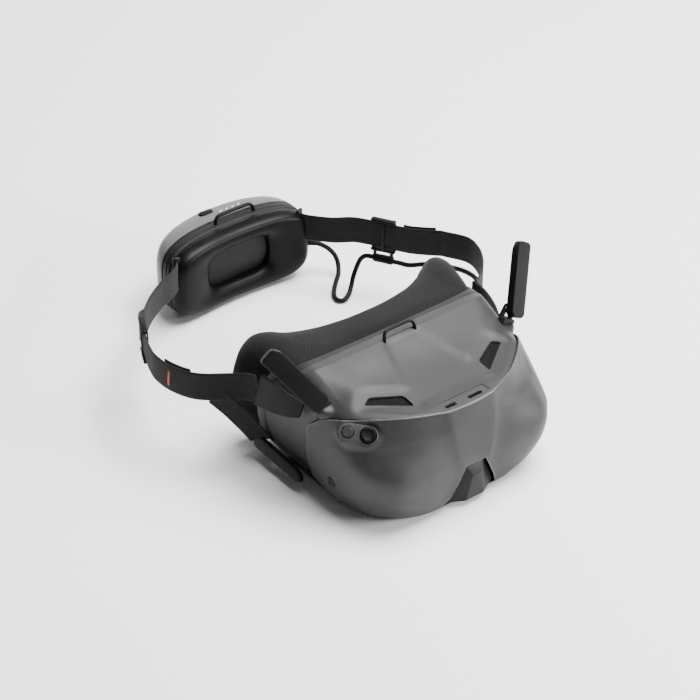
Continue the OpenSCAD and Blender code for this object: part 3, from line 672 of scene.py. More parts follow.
cable_route = [
    CABLE_EXIT, [91.5, 309, 27.5], [96, 305, 24], [100, 301.5, 18], [100.5, 297, 11.5], [96, 290, 6],
    [88, 283, 3.4], [81, 276, 2.4], [75.5, 268.5, 2.3], [74.6, 262, 2.3], [78, 258.6, 2.5], [84.5, 260.5, 4],
    [90.5, 264.5, 8], [95.5, 268, 14.5], [100, 269, 22.5], [103.8, 268.4, 29.5],
    *[along(LEFT_BUCKLE, LEFT_YAW, d, CLIP_Z) for d in (-15, -5, 5, 15, 24)], [136, 219, 37.5],
    [145.5, 203, 40], [150.5, 188, 42], [151, 174, 43.2], [146, 161, 44], [136.5, 148, 44.6],
    [125, 135.5, 45.2], [113, 124, 45.8], [105.5, 116, 46], [102, 109, 46]]
cable, cable_line = tube("power_cable_skin", cable_route, CABLE_D, 300, 20)
dress(cable, CABLE, ["power_cable"])
cable_length = float(np.linalg.norm(np.diff(cable_line, axis=0), axis=1).sum())

relief = turned("cable_relief_skin", [[2.3, 0], [2.5, 0.3], [2.7, 3], [2.9, 3.3], [2.9, 4.6], [3.3, 5],
                                      [3.3, 7], [3.6, 7.4], [3.6, 9.4], [4.1, 9.8], [4.2, 13]], 32)
place(relief, CABLE_EXIT, 139.4, 0, 81)
dress(relief, CABLE, ["cable_relief"])

plug = prism("power_plug_skin", rounded([[98, 41], [98, 51], [110, 51], [110, 41]], 2.4), 97.5, 105.5)
plug.data.transform(SIDEWAYS)
bevel(plug, 1.2, 3)
merge(plug, rod(3, 93.4, 98.6, SOCKET))
finish_normals(plug)
dress(plug, CABLE, ["power_plug"])

# ---- front visor ----
visor_rows = [
    [[0, -5, 91], [21, -3.5, 91], [47, 7.5, 91], [67, 22.5, 89], [80, 35, 87], [88, 46, 84], [92, 60, 77],
     [95, 73, 65]],
    [[0, -8.4, 75], [20, -8.4, 75], [47, -3, 72.5], [67, 6.4, 70], [82, 18, 67], [91.5, 33, 64], [95, 54, 58],
     [95.5, 73, 50]],
    [[0, -11, 52], [16, -11.4, 52], [46, -12, 52], [69, -9, 51], [83.5, 4, 50], [91, 21, 49], [95, 43, 45],
     [95.5, 73, 40]],
    [[0, -11, 34], [12, -11.8, 34], [44, -12.6, 32], [68, -9, 31], [83, 6, 31], [91, 24, 30], [94, 45, 28],
     [93.5, 73, 27]],
    [[0, -8, 15], [20.5, -9.6, 15], [43, -9, 14], [63, -3, 13], [78, 11, 13], [87, 29, 13], [90.5, 50, 12],
     [90, 72, 14]],
    [[0, -3, 3], [26, -4.4, 3], [41, -3, 3], [57, 3, 3], [70, 13, 3], [79, 27, 4], [83, 46, 5], [85, 69, 8]]]
NOSE_CREASE, SHOULDER_CREASE = [1, 1, 1, 0.9, 0.5, 0.3], [0.8, 1, 0.9, 0.6, 0.3, 0]
ACROSS, DOWN = 10, 13
visor = shell(visor_rows, zip(NOSE_CREASE, SHOULDER_CREASE), ACROSS, DOWN,
              lambda off: [0, smooth_step(off, 0.75, 1.3), 0, 0, 0, 0], 3)


def visor_hollows(g):
    """How far the band under the rim and the lobes beside the nose facet dip."""
    share = np.clip(np.arange(len(g)) / DOWN, 0, 1)[:, None]
    x = np.abs(g[..., 0])
    hollow = 1.3 * np.sin(np.pi * share**1.4) * smooth_step(x, 20, 36) * (1 - smooth_step(x, 72, 84))
    facet_edge = x[:, (len(visor_rows[0]) - 2) * ACROSS, None]
    valley = (x - facet_edge).clip(0) / 8
    valley = 0.95 * valley * np.exp(1 - valley) * share * smooth_step(g[..., 2], 6, 20)
    return (0.8 * hollow + valley)[..., None]


visor = visor + inner_normal(visor) * visor_hollows(visor)

# Where each control sits, the way it faces, and its radius.
JOYSTICK, JOY_YAW, JOY_TILT, JOY_R = np.array([-76.5, 22, 80.5]), -38.0, 38.0, 5.6
BACK_BUTTON, BACK_YAW, BACK_R = np.array([-86.5, 34, 80.2]), -46.0, 4.6
LINK_BUTTON, LINK_YAW, LINK_R = np.array([-94.4, 44, 30.0]), -84.0, 4.2


def at_control(obj, at, yaw):
    return place(obj, at, yaw, JOY_TILT)


# The two controls sit on a small flat shelf that stands out of the visor's shoulder.
SHELF_YAW, SHELF_R, SHELF_DROP = 0.5 * (JOY_YAW + BACK_YAW), 7.3, 0.9
shelf_at = 0.5 * (JOYSTICK + BACK_BUTTON)
turn = Matrix.Rotation(np.radians(SHELF_YAW), 3, "Z") @ Matrix.Rotation(np.radians(JOY_TILT), 3, "X")
axes = np.array(turn)
span = ((BACK_BUTTON - JOYSTICK) @ axes)[:2]


def flatten_shelf(g):
    """Brings the visor level with the underside of the shelf around the two controls."""
    local = (g - shelf_at) @ axes
    share = np.clip(local[..., :2] @ span / (span @ span), -0.5, 0.5)
    apart = np.linalg.norm(local[..., :2] - share[..., None] * span, axis=-1)
    lift = (1 - smooth_step(apart, 7, 11.5)) * smooth_step(-g[..., 0], 50, 60) * (np.abs(local[..., 2]) < 9)
    return g + ((-SHELF_DROP - local[..., 2]) * lift)[..., None] * axes[:, 2]


def pill(radius, along_it, n=24):
    """The outline of a slot whose ends are half circles, centred on the middle of along_it."""
    arc = np.arctan2(along_it[1], along_it[0]) + np.linspace(-np.pi / 2, np.pi / 2, n)
    ends = [radius * np.column_stack([np.cos(arc + a), np.sin(arc + a)]) for a in (0, np.pi)]
    return np.concatenate([ends[0] + along_it / 2, ends[1] - along_it / 2])


visor = flatten_shelf(visor)
shelf = bevel(prism("shelf", pill(SHELF_R, span), -3.4, 0.2), 0.7, 4, 50)
place(shelf, shelf_at, SHELF_YAW, JOY_TILT)
NOTCH = np.array([[-26, 4.5], [-9.7, 39.5], [9.7, 39.5], [26, 4.5]])
VISOR_T = 1.8
visor_skin = grid_sheet("front_visor_skin", visor, VISOR_T)
bevel(visor_skin, 0.4, 3, 50)
merge(visor_skin, shelf)


def border(g):
    """The two ends and the top edge of a grid, as one line."""
    return np.concatenate([g[::-1, 0], g[0, 1:], g[1:, -1]])


# A lighter bead runs round the rim and along the notch: a painted highlight on the visor's edges.
rim, _ = tube("visor_rim_highlight_bead", border(visor) + VISOR_T / 2 * border(inner_normal(visor)), VISOR_T + 0.06, 0, 12)
surface = BVHTree.FromObject(visor_skin, bpy.context.evaluated_depsgraph_get())
edge = []
for x, z in np.concatenate([np.linspace(a, b, 16) for a, b in zip(NOTCH, NOTCH[1:])]):
    hit = surface.ray_cast(Vector((x, -60, z)) * MM, Vector((0, 1, 0)))[0]
    edge.append(np.array(hit) / MM + [0, 0.5, 0])
notch_highlight_bead, _ = tube("notch_highlight_bead", np.unique(np.round(edge, 3), axis=0), 1.1, 0, 10)
cut(visor_skin, place(prism("notch", NOTCH, -30, 30), tilt=90),
    at_control(prism("hole", disc(JOY_R + 0.9, 64), -8, 12), JOYSTICK, JOY_YAW),
    at_control(prism("hole", disc(BACK_R + 0.4, 64), -8, 12), BACK_BUTTON, BACK_YAW),
    place(prism("hole", disc(LINK_R + 0.4, 64), -8, 12), LINK_BUTTON, LINK_YAW, 90))
dress(visor_skin, GREY, ["front_visor"], angle=38)
# The beads take the lighter grey, a painted highlight along the edges.
for piece in (rim, notch_highlight_bead):
    dress(piece, PAINTED_HIGHLIGHT)

# Faceted insert that closes the notch over the nose.
outer = np.array([[-9.3, -8.6, 39], [9.3, -8.6, 39], [25.4, -2, 4.9], [-25.4, -2, 4.9]])
ridge = np.array([[-4.6, -14.0, 30], [4.6, -14.0, 30], [8.5, -11.6, 5.2], [-8.5, -11.6, 5.2]])
insert = skin("nose_insert_skin", [outer + [0, 3.6, 0], outer, ridge], angle=20)
bevel(insert, 0.6, 3, 15)
dress(insert, DARK, ["nose_insert"], angle=30)

# ---- controls ----
panel = turned("control_panel_skin", [[3.4, -7.4], [6.4, -7.4], [6.4, -1.8], [6.2, -1.6], [6.0, -1.8],
                                      [5.9, -5.8], [3.4, -5.8], [3.4, -7.4]])
dress(at_control(panel, JOYSTICK, JOY_YAW), DARK, ["control_panel"])
cap = turned("joystick_cap_skin", [[1.7, -0.6], [5.2, -0.6], [5.6, -0.2], [5.6, 1.3], [5.3, 1.8], [4.7, 2.0],
                                   [4.3, 1.5], [3.2, 1.25], [0.5, 1.2]], 64)
for k in range(4):
    angle = np.radians(90 * k + 45)
    cut(cap, prism("notch", disc(0.9, 24, 5.5 * np.cos(angle), 5.5 * np.sin(angle)), 0.6, 4))
finish_normals(cap, 30)
dress(at_control(cap, JOYSTICK, JOY_YAW), BLACK, ["joystick_cap"], "joystick_knob")
button = turned("back_button_skin", [[4.6, -4], [4.6, 0.6], [4.3, 1.05], [3.6, 1.25], [2, 1.15], [0.3, 1.1]])
dress(at_control(button, BACK_BUTTON, BACK_YAW), TRIM, ["back_button"], "back_button_body")
link_cap = turned("link_button_skin", [[4.2, -4], [4.2, 0], [3.9, 0.35], [3.4, 0.4], [3.2, 0.22], [0.3, 0.2]])
dress(place(link_cap, LINK_BUTTON, LINK_YAW, 90), SIDE, ["link_button"], "link_button_body")

# ---- main housing: top shell and sides in one moulding ----
housing_front = [[0, -2.4, 91], [20.8, -1, 91], [46, 9.8, 91], [65.2, 24.2, 89], [78, 36.6, 87],
                 [85.4, 47.6, 84], [89, 61, 77], [92, 73.8, 66], [93, 74, 50], [90.5, 75, 30], [86, 72, 13]]
housing_middle = [[0, 50, 96], [21, 50, 96.5], [46, 54, 96.5], [66, 58, 97], [78, 64, 96], [86, 72, 93],
                  [90, 80, 87], [91.5, 94, 74], [94, 97, 52], [92.5, 98, 32], [89, 97, 13]]
housing_brow = [[0, 84.5, 103.6], [21, 84.5, 103.6], [46, 84.5, 103.6], [66, 85, 103.4], [78.6, 86, 102.6],
                [86.8, 89.5, 98.8], [91.6, 98.5, 91], [94, 110, 78], [95.6, 117, 56], [94.8, 119, 34],
                [90, 116.5, 14]]
housing_back = [[0, 93, 102], [21, 93, 102], [46, 93, 102], [66, 93, 102], [79, 93.5, 101.5], [87, 96, 98],
                [92, 106, 91], [94.5, 116, 79], [96, 124, 57], [95, 126, 34], [90, 123, 14]]
housing = shell([housing_front, housing_middle, housing_brow, housing_back],
                [(1, 0.4), (0, 0.4), (0, 0.4), (0, 0.4)], 12, 24,
                lambda off: [0, 0, 1 - 0.8 * smooth_step(off, 4, 6), 0], 2)
# The front edge reaches half a millimetre further, under the visor's rim.
reach = 0.5 * (1 - np.arange(len(housing)) / 4).clip(0, 1)[:, None, None]
housing = housing + unit(housing[:1] - housing[1:2]) * reach
vent = np.array([[36, 18.5], [66, 41], [59, 45], [36, 32.0]])
vents = {"left": vent, "right": (vent * [-1, 1])[::-1]}


def sculpt(g):
    """The top shell's hollows, in the middle, at the vents and by the antennas, and the antenna posts."""
    x, y, z = g[..., 0], g[..., 1], g[..., 2]
    half = np.interp(y, [0, 20, 42, 60, 84], [33, 32, 28, 22, 15.5])
    down = 1.4 * (1 - smooth_step(np.abs(x) - half, -5, 5))
    down = down * smooth_step(y, 6, 20) * (1 - smooth_step(y, 80, 85))
    for outline in vents.values():
        beside = 1 - smooth_step(away_from(g, outline), 0.5, 11)
        down = down + 1.8 * beside * (1 - smooth_step(y, 46, 58) * 0.6)
    down = down + 1.8 * (1 - smooth_step(np.hypot(np.abs(x) - 79, y - 60), 1, 17))
    g = g - np.stack([0 * x, 0 * x, down * smooth_step(z, 84, 90)], axis=-1)
    from_post = np.linalg.norm(np.stack([np.abs(x) - 89, y - 61, z - 83], axis=-1), axis=-1)
    push = 7.5 * (1 - smooth_step(from_post, 2, 11))
    return g + push[..., None] * np.stack([0.75 * np.sign(x), 0 * x - 0.15, 0 * x + 0.35], axis=-1)


housing = sculpt(housing)
housing_skin = grid_sheet("main_housing_skin", housing, -1.8)
bevel(housing_skin, 0.25, 2, 50)
pocket = rounded([[-27, 1.2], [-20, -0.2], [17, -0.2], [22, 1.2], [20, 9.5], [-24, 9.5]], 1.6)
cut(housing_skin, place(prism("pocket", pocket, -0.6, 6), (0, -0.6, 91.15), tilt=5.5))
for outline in vents.values():
    cut(housing_skin, prism("vent", rounded(outline, [3.0, 2.2, 2.2, 3.0], 8), 78, 112))
USB, CARD = np.array([-14.4, 3, 91.3]), np.array([8.3, 2.6, 91.3])
cut(housing_skin, place(prism("usb", pad_outline(5, 2, 2.2, 10), -6, 6), USB))
cut(housing_skin, place(prism("card", pad_outline(6.5, 1.5, 1.2), -6, 6), CARD))
cut(housing_skin, rod(3.3, 80, 110, SOCKET))
dress(housing_skin, GREY, ["main_housing"], angle=40)

# The vent meshes lie under the top shell and slope with it.
for side, corners in vents.items():
    outline = rounded(corners, 3, 8)
    centre = outline.mean(axis=0)
    mesh_skin = prism(f"{side}_vent_mesh_skin", centre + (outline - centre) * 1.14, 0, 0.8)
    co = np.array([v.co for v in mesh_skin.data.vertices]) / MM
    co[:, 2] += 88.3 + 0.105 * (co[:, 1] - 20) - 0.045 * (np.abs(co[:, 0]) - 36)
    mesh_skin.data.vertices.foreach_set("co", (co * MM).ravel())
    dress(mesh_skin, MESH, [f"{side}_vent_mesh"])

usb = prism("usb_port_skin", pad_outline(4.6, 1.75, 1.9, 10), -6.4, -0.9)
cut(usb, prism("mouth", pad_outline(4.1, 1.25, 1.4, 10), -5, 2))
merge(usb, block("tongue", (-3.2, -0.35, -5.2), (3.2, 0.35, -1.8)))
dress(place(usb, USB), IRON, ["usb_port"], angle=30)
card = block("card_slot_skin", (-5.9, -1.3, -6.6), (5.9, 1.3, -1.0))
cut(card, block("mouth", (-5.3, -0.5, -5), (5.3, 0.5, 1)))
dress(place(card, CARD), BLACK, ["card_slot"], angle=30)


def bar_loop(node, half, w, t):
    """A flat black bar bent into a bail."""
    p = curve(whole(half), 96)
    d = unit(np.gradient(p, axis=0))
    side = np.tile([0, 1.0, 0], (len(p), 1))
    out = unit(np.cross(d, side))
    section = rounded([[-w / 2, -t / 2], [w / 2, -t / 2], [w / 2, t / 2], [-w / 2, t / 2]], 0.5 * t, 4)
    rings = [q + np.outer(section[:, 0], s) + np.outer(section[:, 1], o) for q, s, o in zip(p, side, out)]
    return dress(skin(f"{node}_skin", rings, angle=50), BLACK, [node])


bar_loop("front_strap_loop", [[0, 85.6, 110], [9, 85.5, 109.9], [12.5, 85, 109.1], [14.2, 83.8, 106.4],
                              [14.8, 82.4, 101.4]], 2.6, 2.2)

# ---- bottom shell, rear frame and face foam ----
nose_outline = [[77, 112, 6], [58, 98, 4], [40, 88, 8], [26, 78, 22], [14, 72, 36], [0, 70, 40]]
opening_half = np.array(housing_back + nose_outline, float)


def closed(half):
    """The whole outline from its left half, or the whole list of values along it."""
    half = np.asarray(half, float)
    other = half[-2:0:-1].copy()
    if other.ndim > 1:
        other[:, 0] *= -1
    return np.concatenate([half, other])


# Depth of the frame, rear edge of the foam, its wall and its bulge, at each point of opening_half.
frame_depth = [4, 4, 4.5, 5, 6, 8, 9, 10, 12, 12, 11, 10, 10, 10, 10, 10, 10]
foam_back = [130, 131, 136, 144, 152, 157, 160, 164, 168, 165, 156, 145, 134, 124, 114, 106, 102]
foam_wall = [22, 22, 22, 22, 22, 22, 22, 22, 22, 22, 20, 16, 13, 11, 10, 10, 10]
foam_bulge = [1, 1, 1, 2, 4, 6, 7, 7, 7, 6, 4, 2, 1, 0, 0, 0, 0]
ring_line, depth, rear, wall, bulge = (
    curve(closed(v), 256, loop=True) for v in (opening_half, frame_depth, foam_back, foam_wall, foam_bulge))
ahead = np.roll(ring_line, -1, axis=0) - np.roll(ring_line, 1, axis=0)
inward = unit(np.column_stack([ahead[:, 2], 0 * ahead[:, 0], -ahead[:, 0]]))


def opening_ring(inwards, backwards):
    """The outline of the face opening, moved inwards and backwards."""
    return ring_line + inward * inwards + np.array([0, 1, 0]) * backwards[:, None]


# Each corner: how far inwards, the share of the frame's depth, and how far back from there.
frame_section = [(0.5, 0, 0.4), (0.1, 0, 0.7), (0, 0, 1.1), (0, 0.5, 0), (0, 1, -0.6), (0.15, 1, 0.1),
                 (0.6, 1, 0.4), (7, 1, 0.4), (7, 0, 0.4)]
rear_frame = skin("rear_frame_skin", [opening_ring(a, b * depth + c) for a, b, c in frame_section], True, 35)
dress(rear_frame, TRIM, ["rear_frame"])

# Each corner of the foam: the share of its wall inwards, of its depth backwards, and of its bulge outwards.
foam_section = np.array([[0.06, 0, 0], [0, 0.3, 0.5], [0, 0.62, 1], [0.06, 0.88, 0.9], [0.35, 1, 0.6],
                         [0.7, 0.96, 0.3], [0.98, 0.76, 0.1], [1, 0.4, 0], [0.9, 0, 0]])
seat_y = ring_line[:, 1] + depth + 0.7
foam_rings = []
for a, b, c in curve(foam_section, 40):
    p = ring_line.copy()
    p[:, 1] = seat_y + b * (rear - seat_y)
    foam_rings.append(p + inward * (a * wall - c * bulge)[:, None])
foam = skin("face_foam_skin", foam_rings, loop=True, angle=60)
puff(foam, lambda p: p[:, 1] < np.interp(p[:, 2], [0, 100], [seat_y.max() + 1, 100]), 1.2)
dress(foam, FOAM, ["face_foam"])

base_outline = [[0, -0.6], [24, -1.4], [39, 0.4], [55, 6], [67, 16], [75.5, 29], [79.5, 47], [80.5, 72],
                [80.5, 92], [75, 108], [57, 95], [38, 84], [24, 72], [12, 66], [0, 64]]
base = prism("bottom_shell_skin", closed(base_outline), 0, 2.4)
bevel(base, 0.7, 3, 50)
skirt = patch([[[79, 46, 1.9], [80, 62, 1.9], [80, 80, 1.9], [80, 94, 1.9], [75, 107, 1.9]],
               [[82, 47, 3.4], [84, 66, 6], [86.5, 90, 9], [87, 106, 9.5], [84, 118, 10]]], 40, 8)
nose_rows = [[[0, 66, 1.9], [13, 68, 1.9], [25, 74, 1.9], [39, 86, 1.9], [56, 96, 1.9]],
             [[0, 69, 39], [13.6, 71, 35], [26, 77, 21], [40, 87.4, 7.6], [57, 97.6, 3.4]]]
skirt_left = grid_sheet("skirt_left_skin", skirt, 1.8)
skirt_right = mirror_x(skirt_left, "skirt_right_skin")
nose_wall = grid_sheet("nose_wall_skin", patch([whole(row) for row in nose_rows], 96, 16), 1.6)
for piece in (skirt_left, skirt_right, nose_wall):
    dress(piece, DARK)
dress(base, DARK, ["bottom_shell"], angle=35)

# ---- antennas ----
HINGE, SLOPE, HINGE_YAW, STAND = (95, 63.2, 97.4), 33.7, 1.8, 63
L, W, T, DROP = 60.0, 16.0, 7.0, 7.0  # length, width and thickness of a blade, and its end below the hinge
EAR_X, EAR_R = 5.3, 3.4
blade_outline = [[-W / 2 + 2.8, -DROP], [W / 2 - 2.8, -DROP], [W / 2, -DROP + 2.8], [W / 2, L - DROP - 1.5],
                 [W / 2 - 2.5, L - DROP], [-W / 2 + 3.5, L - DROP], [-W / 2 + 0.6, L - DROP - 5.5],
                 [-W / 2, L - DROP - 9], [-W / 2, -DROP + 2.8]]
blade_outline = rounded(blade_outline, [2.2, 2.2, 2.2, 2, 2.4, 2.2, 3, 3, 2.2], 5)
blade = bevel(prism("left_antenna_skin", blade_outline, 0.5, 0.5 + T), 1.15, 4, 40)
merge(blade, rod(EAR_R, -3.5, 3.5, n=48))
cut(blade, *[rod(EAR_R + 0.4, s * EAR_X - 1.7, s * EAR_X + 1.7, n=48) for s in (-1, 1)], rod(1.25, -10, 10))
blade.data.transform(Matrix.Rotation(np.radians(STAND), 4, "X"))
bracket = bevel(block("left_antenna_bracket_skin", (-6.7, -4, -15), (6.7, 3.4, -7.4)), 1.0, 3, 40)
for s in (-1, 1):
    leg = block("leg", (s * EAR_X - 1.38, 0.02, -8.4), (s * EAR_X + 1.38, 3.38, -0.1))
    merge(bracket, rod(EAR_R, s * EAR_X - 1.4, s * EAR_X + 1.4, n=48), leg)
pin = turned("left_antenna_pin_skin", [[1.0, -6.8], [1.2, -6.6], [1.2, 6.6], [1.0, 6.8]], 32)
place(pin, roll=90)
for piece in (blade, bracket, pin):
    place(piece, HINGE, HINGE_YAW, 0, SLOPE)
finish_normals(blade, 40)
finish_normals(bracket, 35)


def dress_pair(left, material, node, body=None):
    """Dresses a piece of the left side and its twin on the right."""
    twin = mirror_x(left, left.name.replace("left", "right"))
    for obj, side in ((left, "left"), (twin, "right")):
        dress(obj, material, [f"{side}_{node}"], f"{side}_{body}" if body else "goggles")


dress_pair(blade, BLACK, "antenna", "antenna_body")
dress_pair(bracket, SIDE, "antenna_bracket")
dress_pair(pin, STEEL, "antenna_pin")

# ---- arms ----
upper_arm_rows = [
    [[95.2, 77, 84], [99.6, 88, 87], [103, 103, 89.5], [104.5, 119, 90]],
    [[98.2, 80, 70], [102.5, 91, 66.5], [106, 107, 63], [108, 124, 60]]]
arm = bevel(grid_sheet("left_upper_arm_skin", patch(upper_arm_rows, 48, 24), 3), 1.1, 4, 40)
finish_normals(arm, 40)
# The lower arm is drawn seen from the side and leans out with the housing about its lower front corner.
LOWER_ARM, LEAN = (97.3, 76, 14), 22
lower_outline = [[76, 11], [79, 8.6], [84, 8.2], [131, 11.5], [137, 17], [138.5, 22], [134, 22.5], [84, 17.5],
                 [78, 15]]
lower = prism("left_lower_arm_skin", rounded(np.array(lower_outline) - LOWER_ARM[1:], 3, 5), -2.3, 2.3)
bevel(lower, 1.3, 4, 40)
lower.data.transform(SIDEWAYS)
lower.data.transform(Matrix.Rotation(np.radians(-LEAN), 4, "Y"))
place(lower, LOWER_ARM, -4)
finish_normals(lower, 40)
dress_pair(arm, BLACK, "upper_arm")
dress_pair(lower, DARK, "lower_arm")

# ---- headband ----
STRAP_W, STRAP_T = 25.5, 1.6
left_upper_route = [[106, 120, 75.3], [114, 125, 74], [124, 133, 72], [136, 147, 70.4], [146, 164, 68],
                    [151, 184, 65], [143, 208, 61.8]]
left_rear_route = [[143, 208, 61.8], along(LEFT_BUCKLE, LEFT_YAW, 28, 0.6), along(LEFT_BUCKLE, LEFT_YAW, 14),
                   LEFT_BUCKLE, along(LEFT_BUCKLE, LEFT_YAW, -14), along(LEFT_BUCKLE, LEFT_YAW, -28, -1),
                   [90, 288, 54], [80, 303, 52], [75.5, 312, 51], [72, 322, 50.5]]
right_upper_route = [[-105.4, 122, 75.3], [-110, 132, 73.4], [-119, 142, 71.6], [-131, 154, 69.4],
                     [-139, 167, 67.4], [-144, 186, 65.4], [-144, 205, 63.4], [-139.5, 221, 61],
                     along(RIGHT_BUCKLE, RIGHT_YAW, -14, 0.2), RIGHT_BUCKLE,
                     along(RIGHT_BUCKLE, RIGHT_YAW, 12), along(RIGHT_BUCKLE, RIGHT_YAW, 20, -0.5),
                     [-112, 271, 55.6], [-98, 284, 54.4], [-80, 297, 53], [-64, 305, 52], [-53.5, 313, 51],
                     [-47, 323, 50]]
left_lower_route = [[100, 130, 18.5], [104.5, 131.5, 26], [111.5, 134, 36.5], [120, 138, 48.5],
                    [130.1, 142, 60]]
right_lower_route = [[-99, 130, 18.5], [-103, 131.5, 26], [-109, 135, 36.5], [-116.5, 141.8, 48.5],
                     [-125, 149.5, 60]]
for name, route, width, n, facing in (
        ("left_upper_strap", left_upper_route, STRAP_W, 90, None),
        ("left_rear_strap", left_rear_route, STRAP_W, 110, None),
        ("right_upper_strap", right_upper_route, STRAP_W, 200, None),
        ("left_lower_strap", left_lower_route, STRAP_W * 0.8, 50, np.array([0.85, -0.5, 0])),
        ("right_lower_strap", right_lower_route, STRAP_W * 0.8, 50, np.array([-0.85, -0.5, 0]))):
    dress(band(f"{name}_skin", route, width, STRAP_T, n, facing), WEB, [name])
# The doubled ends of the webbing, sewn on beside the buckles.
for name, route, n, start, end in (("left_strap_tab", left_rear_route, 110, 0.02, 0.19),
                                   ("right_strap_tab", right_upper_route, 200, 0.225, 0.31)):
    dress(band(name, route, STRAP_W, 1.3, n, None, start, end, 1.75, 1.3), WEB)
TAG_AT = (-144.9, 185.6, 65.2)
tag = band("strap_tag_skin", [[0, -1, 0], [-0.05, 0, 0], [0, 1, 0]], 15, 0.5, 8)
dress(place(tag, TAG_AT, tilt=8), TAG, ["strap_tag"])

# Moulded slots that the webbing comes out of, on the pack's ends.
for name, at, yaw in (("right_strap_slot", (-50.2, 318.5, 50.2), 58),
                      ("left_strap_slot", (74.2, 316.5, 50.7), 112)):
    slot = block(name, (-1.6, -3.4, -STRAP_W / 2 - 3), (1.6, 3.4, STRAP_W / 2 + 3))
    bevel(slot, 1.0, 3, 40)
    finish_normals(slot)
    dress(place(slot, at, yaw), DARK)

# ---- buckles ----
RAIL_Z = STRAP_W / 2 + 0.6
BAR_Y = STRAP_T / 2 + 0.5


def beam(low, high, edge=0.5):
    return bevel(block("beam", low, high), edge, 3, 40)


def buckle(name):
    """End bars behind the webbing, rails above and below it, and a middle bar in front."""
    far = BAR_Y + 1.3
    obj = beam((-11, -far, RAIL_Z), (11, far, RAIL_Z + 2.7), 1.2)
    obj.name = name
    lower_rail = beam((-11, -far, -RAIL_Z - 2.7), (11, far, -RAIL_Z), 1.2)
    middle_bar = beam((-1.4, -far + 0.05, -RAIL_Z - 1), (1.4, -BAR_Y, RAIL_Z + 1))
    ends = [beam((x - 1.4, BAR_Y, -RAIL_Z - 1), (x + 1.4, far - 0.05, RAIL_Z + 1)) for x in (-9.2, 9.2)]
    return merge(obj, lower_rail, middle_bar, *ends)


left = buckle("left_buckle_skin")
legs = [beam((s * 7.5 - 1.3, -1.3, CLIP_Z + 1), (s * 7.5 + 1.3, 1.3, -RAIL_Z - 1)) for s in (-1, 1)]
foot = beam((-9.5, -1.8, CLIP_Z + 1.6), (9.5, 1.8, CLIP_Z + 4.2), 0.8)
sleeve = turned("sleeve", [[2.9, -8.6], [3.3, -8], [3.3, 8], [2.9, 8.6]], 40)
merge(left, *legs, foot, place(sleeve, (0, 0, CLIP_Z), roll=90))
cut(left, rod(2.4, -20, 20, (0, 0, CLIP_Z), 40))
place(left, LEFT_BUCKLE, LEFT_YAW)
dress(left, BLACK, ["left_buckle"], "left_slide_buckle", angle=35)
right = place(buckle("right_buckle_skin"), RIGHT_BUCKLE, RIGHT_YAW + 180)
dress(right, BLACK, ["right_buckle"], "right_slide_buckle", angle=35)

# ---- battery pack ----
HW, HH, PX, PZ = 70.0, 35.0, 13.0, 36.0  # half width and half height of the pack, and its middle
BOW, BACK_BOW, POWER, RING = 0.0018, 0.0036, 4.2, 160  # bow of its faces, its corners, points of a ring


def pack_ring(y, inset, bow=BOW, share=1.0):
    return soft_box((HW - inset) * share, (HH - inset * 0.75) * share, PX, PZ, y, bow, POWER, RING)


case_rings = [pack_ring(y, inset) for y, inset in ((342.0, 1.0), (342.2, 0.65), (342.7, 0.5))]
case_rings += [pack_ring(y, 0.5, bow) for y, bow in ((346, 0.0022), (350, 0.0027))]
case_rings += [pack_ring(y, inset, BACK_BOW) for y, inset in (
    (357.5, 1.4), (359, 2.0), (361.5, 4.0), (364, 6.5), (365.6, 10), (366.5, 15), (366.8, 20), (366.9, 25))]
case_rings += [pack_ring(366.95, 25, BACK_BOW, share) for share in (0.7, 0.35, 0.03)]
case = skin("pack_rear_case_skin", case_rings, angle=25)
POWER_BUTTON = (4, 355, PZ + HH - 4)
cut(case, place(prism("hole", pad_outline(6.9, 3, 3, 10), -3, 14), POWER_BUTTON))
dress(case, SILVER, ["pack_rear_case"], angle=30)
frame_rings = [pack_ring(y, inset) for y, inset in (
    (329.3, 3.4), (329.5, 2.5), (330.2, 1.2), (331, 0.5), (333.4, 0.1), (333.8, 0.9), (334.6, 0.9),
    (335, 0.1), (337, 0), (338.6, 0), (339, 0.9), (339.8, 0.9), (340.2, 0), (341.2, 0.1), (341.7, 1.0))]
pack_frame = skin("pack_frame_skin", frame_rings, angle=25)
dress(pack_frame, DARK, ["pack_frame"])

HOLLOW_W, HOLLOW_H = 30.0, 18.0


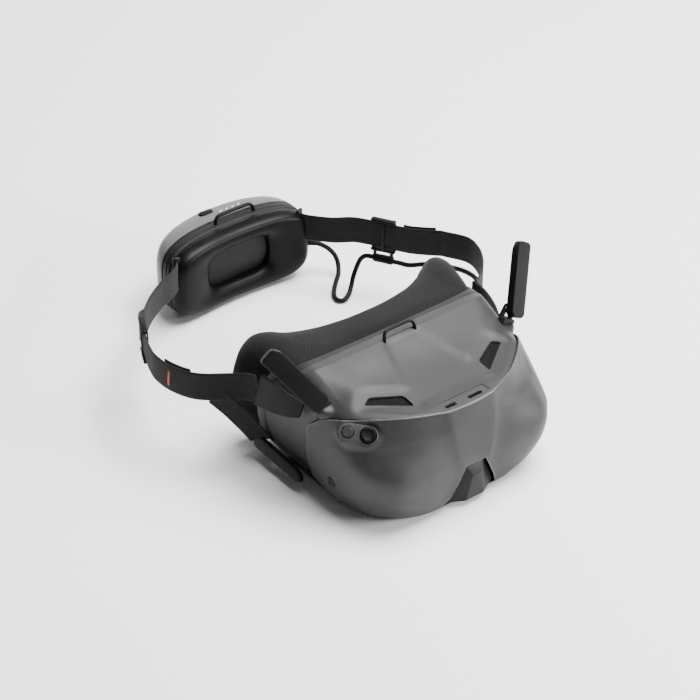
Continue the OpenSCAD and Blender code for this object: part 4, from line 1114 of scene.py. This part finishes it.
def cushion_ring(share, y):
    """A ring of the cushion, from its outer edge to the edge of its hollow."""
    hw, hh = HW - 1.5, HH - 1
    return soft_box(hw + (HOLLOW_W - hw) * share, hh + (HOLLOW_H - hh) * share, PX, PZ, y, BOW, POWER, RING)


cushion_section = [[0, 329.2], [-0.01, 325], [0.06, 319], [0.2, 315.5], [0.5, 314.4], [0.8, 316],
                   [0.96, 319.5], [1, 324], [1, 329.2]]
cushion_rings = [cushion_ring(share, y) for share, y in curve(cushion_section, 48)]
cushion = skin("head_cushion_skin", cushion_rings, loop=True, angle=60)
dress(cushion, RUBBER, ["head_cushion"])
plate_rings = [soft_box(28, 15, PX, PZ, y, BOW, 6, 96) for y in (327.8, 329.1)]
plate = skin("pack_label_plate_skin", plate_rings)
dress(plate, DARK, ["pack_label_plate"])
power = bevel(prism("power_button_skin", pad_outline(6.4, 2.7, 2.7, 10), -1, 4.6), 0.7, 3, 50)
dress(place(power, POWER_BUTTON), BLACK, ["power_button"], "power_button_body", angle=40)
lamps = [place(prism("charge_leds_skin", pad_outline(1.3, 0.5, 0.4), 0, 3.75), (x, 349.5, PZ + HH - 4), 20)
         for x in (16, 22, 28, 34)]
lamps = merge(*lamps)
dress(lamps, LAMP, ["charge_leds"], angle=40)
bail = bar_loop("pack_strap_loop", [[0, 336, 77.4], [12, 336, 77.2], [16.5, 336, 76.4], [19, 335, 73],
                                    [19, 334, 68]], 3.2, 2.6)
place(bail, (20, 0, 0))

# ---- optics and electronics keep their CAD shapes, with finishes of their own ----
for material, nodes in ((BLACK, ("lens_carriage", "fan_housing", "fan_rotor", "joystick_gimbal")),
                        (LENS, ("left_lens", "right_lens", "display_panel")),
                        (BOARD, ("main_board", "battery_board")), (CELL, ("battery_cells",)),
                        (STEEL, ("heat_sink", "housing_screws", "joystick_stem", "pack_screws"))):
    for node in nodes:
        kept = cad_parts[node].data.materials
        kept.clear()
        kept.append(material)


def corners(box):
    return [list(map(float, corner)) for corner in box]


{"cad": corners(cad_box), "looks": corners(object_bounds())}
